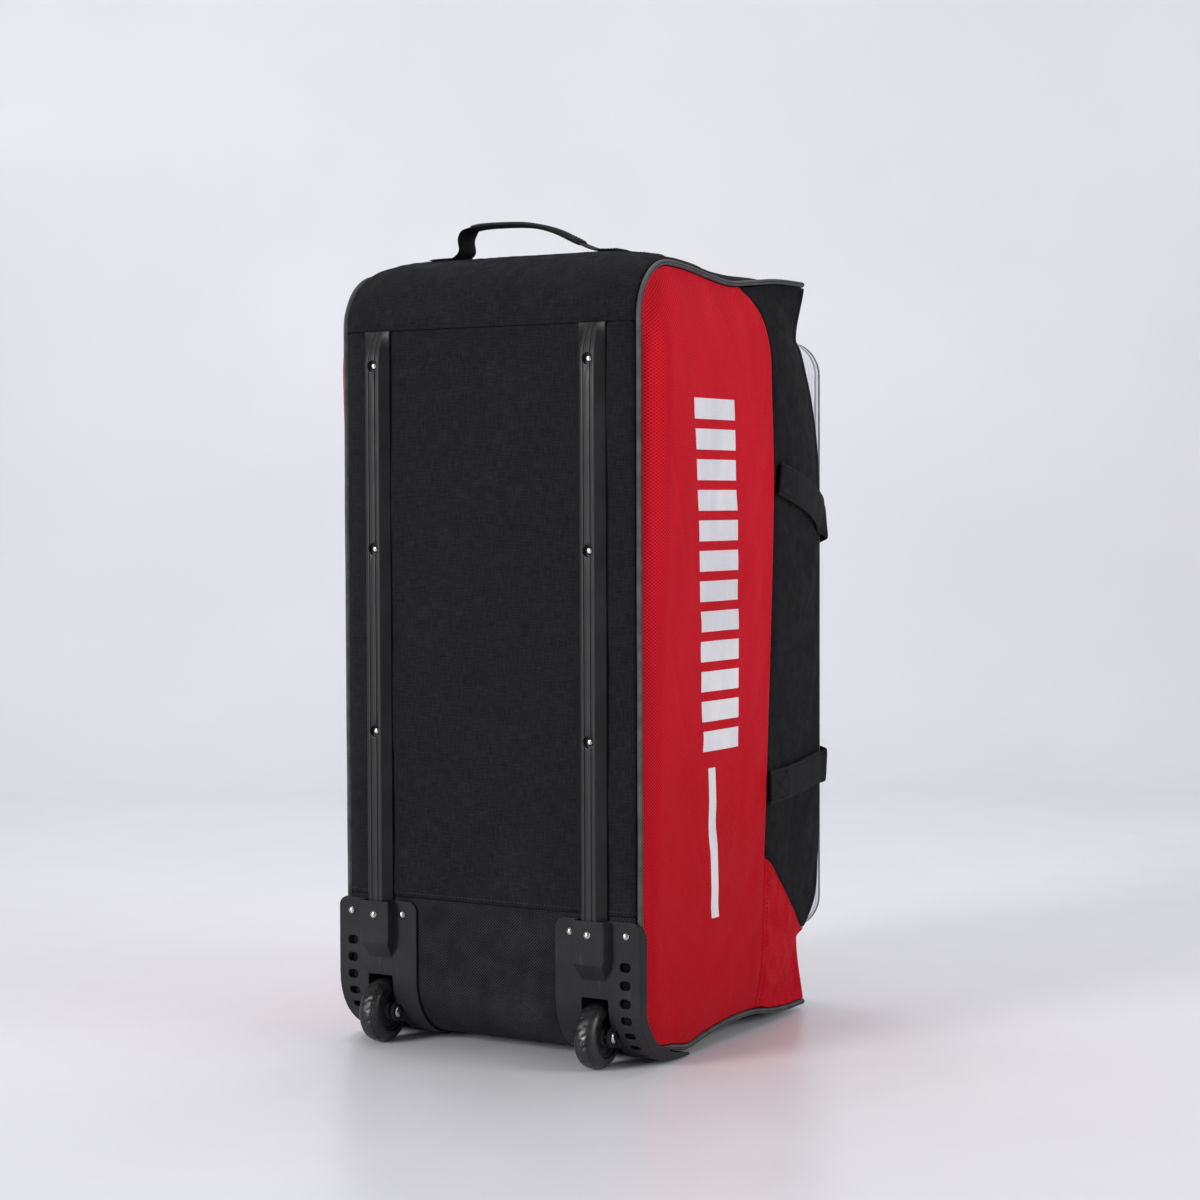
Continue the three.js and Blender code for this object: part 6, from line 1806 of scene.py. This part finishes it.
def lay_rows(tree, given, made, small, turn, size, material):
    """Puts a small piece on every point, turned and sized, as one mesh of one material."""
    scale = put(tree, "ShaderNodeCombineXYZ", dict(enumerate(given[label] for label in size))).outputs[0]
    rows = put(tree, "GeometryNodeInstanceOnPoints", {
        "Points": given["Geometry"], "Instance": small, "Rotation": turn, "Scale": scale}).outputs[0]
    whole = put(tree, "GeometryNodeRealizeInstances", {0: rows}).outputs[0]
    smooth = put(tree, "GeometryNodeSetShadeSmooth", {0: whole}).outputs[0]
    coloured = put(tree, "GeometryNodeSetMaterial", {"Geometry": smooth, "Material": given[material]}).outputs[0]
    tree.links.new(coloured, made[0])


def stitch_rows():
    tree, sockets, given, made = node_tree("stitch_rows", [
        ("Stitch Length", "NodeSocketFloat"), ("Thread Width", "NodeSocketFloat"), ("Slant", "NodeSocketFloat"),
        ("Seed", "NodeSocketInt"), ("Thread", "NodeSocketMaterial")])
    ball = put(tree, "GeometryNodeMeshUVSphere", {0: 6, 1: 4, 2: 0.5}).outputs[0]
    lean = put(tree, "FunctionNodeRandomValue", {"Seed": given["Seed"]}, data_type="FLOAT")
    ends = {"Min": calc(tree, "MULTIPLY", given["Slant"], -1.0), "Max": given["Slant"]}
    for socket in lean.inputs:
        if socket.enabled and socket.name in ends:
            tree.links.new(ends[socket.name], socket)
    slant = [socket for socket in lean.outputs if socket.enabled][0]
    lay_rows(tree, given, made, ball, laid_rotation(tree, slant), ("Stitch Length", "Thread Width", "Thread Width"),
             "Thread")
    return tree, sockets


def rivet_rows():
    tree, sockets, given, made = node_tree("rivet_rows", [
        ("Head Radius", "NodeSocketFloat"), ("Head Rise", "NodeSocketFloat"), ("Metal", "NodeSocketMaterial")])
    ball = put(tree, "GeometryNodeMeshUVSphere", {0: 28, 1: 16, 2: 1.0}).outputs[0]
    place = put(tree, "GeometryNodeInputPosition").outputs[0]
    parts = put(tree, "ShaderNodeSeparateXYZ", {0: place}).outputs
    above = calc(tree, "MAXIMUM", parts[2], 0.0)
    flat = put(tree, "ShaderNodeCombineXYZ", {0: parts[0], 1: parts[1], 2: above}).outputs[0]
    dome = put(tree, "GeometryNodeSetPosition", {"Geometry": ball, "Position": flat}).outputs[0]
    lay_rows(tree, given, made, dome, laid_rotation(tree), ("Head Radius", "Head Radius", "Head Rise"), "Metal")
    return tree, sockets


def zip_rows():
    tree, sockets, given, made = node_tree("zip_rows", [
        ("Tooth Length", "NodeSocketFloat"), ("Tooth Width", "NodeSocketFloat"), ("Tooth Rise", "NodeSocketFloat"),
        ("Plastic", "NodeSocketMaterial")])
    tooth = put(tree, "GeometryNodeMeshUVSphere", {0: 8, 1: 4, 2: 0.5}).outputs[0]
    lay_rows(tree, given, made, tooth, laid_rotation(tree), ("Tooth Width", "Tooth Length", "Tooth Rise"), "Plastic")
    return tree, sockets


def repeated(name, tree_and_sockets, places, ways, outs, values):
    """Points with their directions, and the node tree that puts a small piece on each."""
    tree, sockets = tree_and_sockets
    mesh = bpy.data.meshes.new(name)
    mesh.from_pydata(to_frame(places).tolist(), [], [])
    for label, rows in (("way", ways), ("out", outs)):
        layer = mesh.attributes.new(label, "FLOAT_VECTOR", "POINT")
        layer.data.foreach_set("vector", np.asarray(rows, np.float32).ravel())
    piece = bpy.data.objects.new(name, mesh)
    bpy.context.scene.collection.objects.link(piece)
    made = piece.modifiers.new("rows", "NODES")
    made.node_group = tree
    for label, value in values.items():
        made[sockets[label]] = value
    return settle(piece)


def row_points(line, outs, pitch):
    travel = travel_of(line)
    count = max(int(travel[-1] / pitch), 1)
    at = (np.arange(count) + 0.5) * travel[-1] / count
    way = read_rows(at + 1, travel, line) - read_rows(at - 1, travel, line)
    return read_rows(at, travel, line), unit(way), unit(read_rows(at, travel, outs))


def make_stitches():
    tree = stitch_rows()
    for colour, finish in (("black", black_thread), ("grey", grey_thread)):
        parts = [row_points(line, outs, pitch) for line, outs, pitch in seams[colour]]
        places, ways, outs = (np.concatenate([p[k] for p in parts]) for k in range(3))
        piece = repeated(f"{colour}_stitches", tree, places + outs * 0.1, ways, outs, {
            "Stitch Length": 0.0029, "Thread Width": 0.0007, "Slant": 0.12, "Seed": 7, "Thread": finish})
        fit(piece, [])


def make_rivets():
    sink_floor = RAIL_Y - RAIL_STAND + SINK_DEPTH
    sleeve_face = RAIL_Y - RAIL_STAND - GAP - GUARD_PLATE
    places, nodes = [], []
    for side_name, side in SIDES:
        for k, z in enumerate(RIVET_ROWS):
            places.append((side * RAIL_X, sink_floor, z))
            nodes.append(f"rail_rivet_{side_name}_{k + 1}")
        for k, x in enumerate(GUARD_RIVETS):
            on_sleeve = abs(x - RAIL_X) < RAIL_BASE / 2
            places.append((side * x, sleeve_face if on_sleeve else 0.0, GUARD_RIVET_Z))
            nodes.append(f"guard_rivet_{side_name}_{k + 1}")
    places = np.array(places)
    ways = np.tile([1.0, 0, 0], (len(places), 1))
    outs = np.tile([0, -1.0, 0], (len(places), 1))
    piece = repeated("rivet_heads", rivet_rows(), places, ways, outs, {
        "Head Radius": RIVET_HEAD / 1000, "Head Rise": RIVET_RISE / 1000, "Metal": chrome})
    fit(piece, nodes)


def make_zip():
    loop = dense_loop(0.7, 1.9)[0]
    following = unit(np.roll(loop, -1, axis=0) - np.roll(loop, 1, axis=0))
    places = np.column_stack([loop[:, 0], np.full(len(loop), LID_RIM - 9.0), loop[:, 1]])
    ways = np.column_stack([following[:, 0], np.zeros(len(loop)), following[:, 1]])
    outs = np.cross(ways, [0, 1.0, 0])
    outs *= np.sign(np.sum(outs * (places - [0, 0, LID_MIDDLE]), axis=1, keepdims=True))
    piece = repeated("lid_zip_teeth", zip_rows(), places, ways, outs, {
        "Tooth Length": 0.005, "Tooth Width": 0.0015, "Tooth Rise": 0.0016, "Plastic": zip_plastic})
    fit(piece, [])


# ---- Floor and light ----

def make_stage():
    finish = Finish("studio_floor", 0.32, specular=0.35)
    tree = finish.tree
    cloud = finish.noise(finish.place, 1.3, 3.0)
    colour = tint(tree, ramp(tree, cloud, 0.3, 0.7), shade(226, 226, 231), shade(230, 230, 235))
    rough = ramp(tree, finish.noise(finish.place, 9.0, 3.0), 0.3, 0.7, 0.3, 0.38)
    finish.set(Base_Color=colour, Roughness=rough)
    line = [(-6.0, 0.0), (2.2, 0.0)]
    line += [(2.2 + 1.6 * math.sin(a), 1.6 - 1.6 * math.cos(a)) for a in np.linspace(0, QUARTER, 25)[1:]]
    line += [(3.8, 6.0)]
    vertices = [(x, y, z - 0.0004) for y, z in line for x in (-9.0, 9.0)]
    faces = [(2 * i, 2 * i + 1, 2 * i + 3, 2 * i + 2) for i in range(len(line) - 1)]
    floor = plain_mesh("studio_floor", vertices, faces, finish.material)
    floor.data.transform(Matrix.Rotation(CAMERA_YAW, 4, "Z"))


def area_light(name, place, aim, size, power):
    data = bpy.data.lights.new(name, "AREA")
    data.shape = "RECTANGLE"
    data.size, data.size_y = size
    data.energy = power
    light = bpy.data.objects.new(name, data)
    place, aim = (Matrix.Rotation(CAMERA_YAW, 3, "Z") @ Vector(point) for point in (place, aim))
    light.location = place
    light.rotation_euler = (aim - place).to_track_quat("-Z", "Y").to_euler()
    bpy.context.scene.collection.objects.link(light)


def make_light():
    world = bpy.data.worlds.new("studio")
    bpy.context.scene.world = world
    world.use_nodes = True
    world.node_tree.nodes["Background"].inputs[0].default_value = (0.97, 0.97, 1.0, 1)
    world.node_tree.nodes["Background"].inputs[1].default_value = 0.3
    area_light("right_softbox", (4.4, -2.2, 1.9), (0.1, 0.0, 0.45), (2.2, 2.6), 108)
    area_light("left_softbox", (-4.4, -3.4, 1.9), (0, 0, 0.45), (1.8, 2.4), 245)
    area_light("top_softbox", (0.0, 0.9, 3.6), (0, 0.1, 0.3), (2.4, 2.0), 50)
    area_light("backdrop_softbox", (-0.4, 1.6, 3.6), (-0.4, 3.6, 0.7), (5.0, 1.2), 9)
    bpy.context.scene.view_settings.view_transform = "Standard"


# ---- The whole bag ----

make_wrap_panels()
for (name_of_side, way_of_side), first_seed in zip(SIDES, (201, 301)):
    make_side_cloth(name_of_side, way_of_side, first_seed)
    make_piping(name_of_side, way_of_side)
    make_wheel(name_of_side, way_of_side)
    make_carry_handle(name_of_side, way_of_side)
rail_moulding = make_rail()
fit(mirrored(rail_moulding, "rail_left_moulding"), ["rail_left"])
fit(rail_moulding, ["rail_right"])
guard_moulding = make_guard()
fit(mirrored(guard_moulding, "wheel_guard_left_moulding"), ["wheel_guard_left"])
fit(guard_moulding, ["wheel_guard_right"])
make_lid()
make_borders()
make_top_handle()
make_stitches()
make_rivets()
make_zip()
make_stage()
make_light()
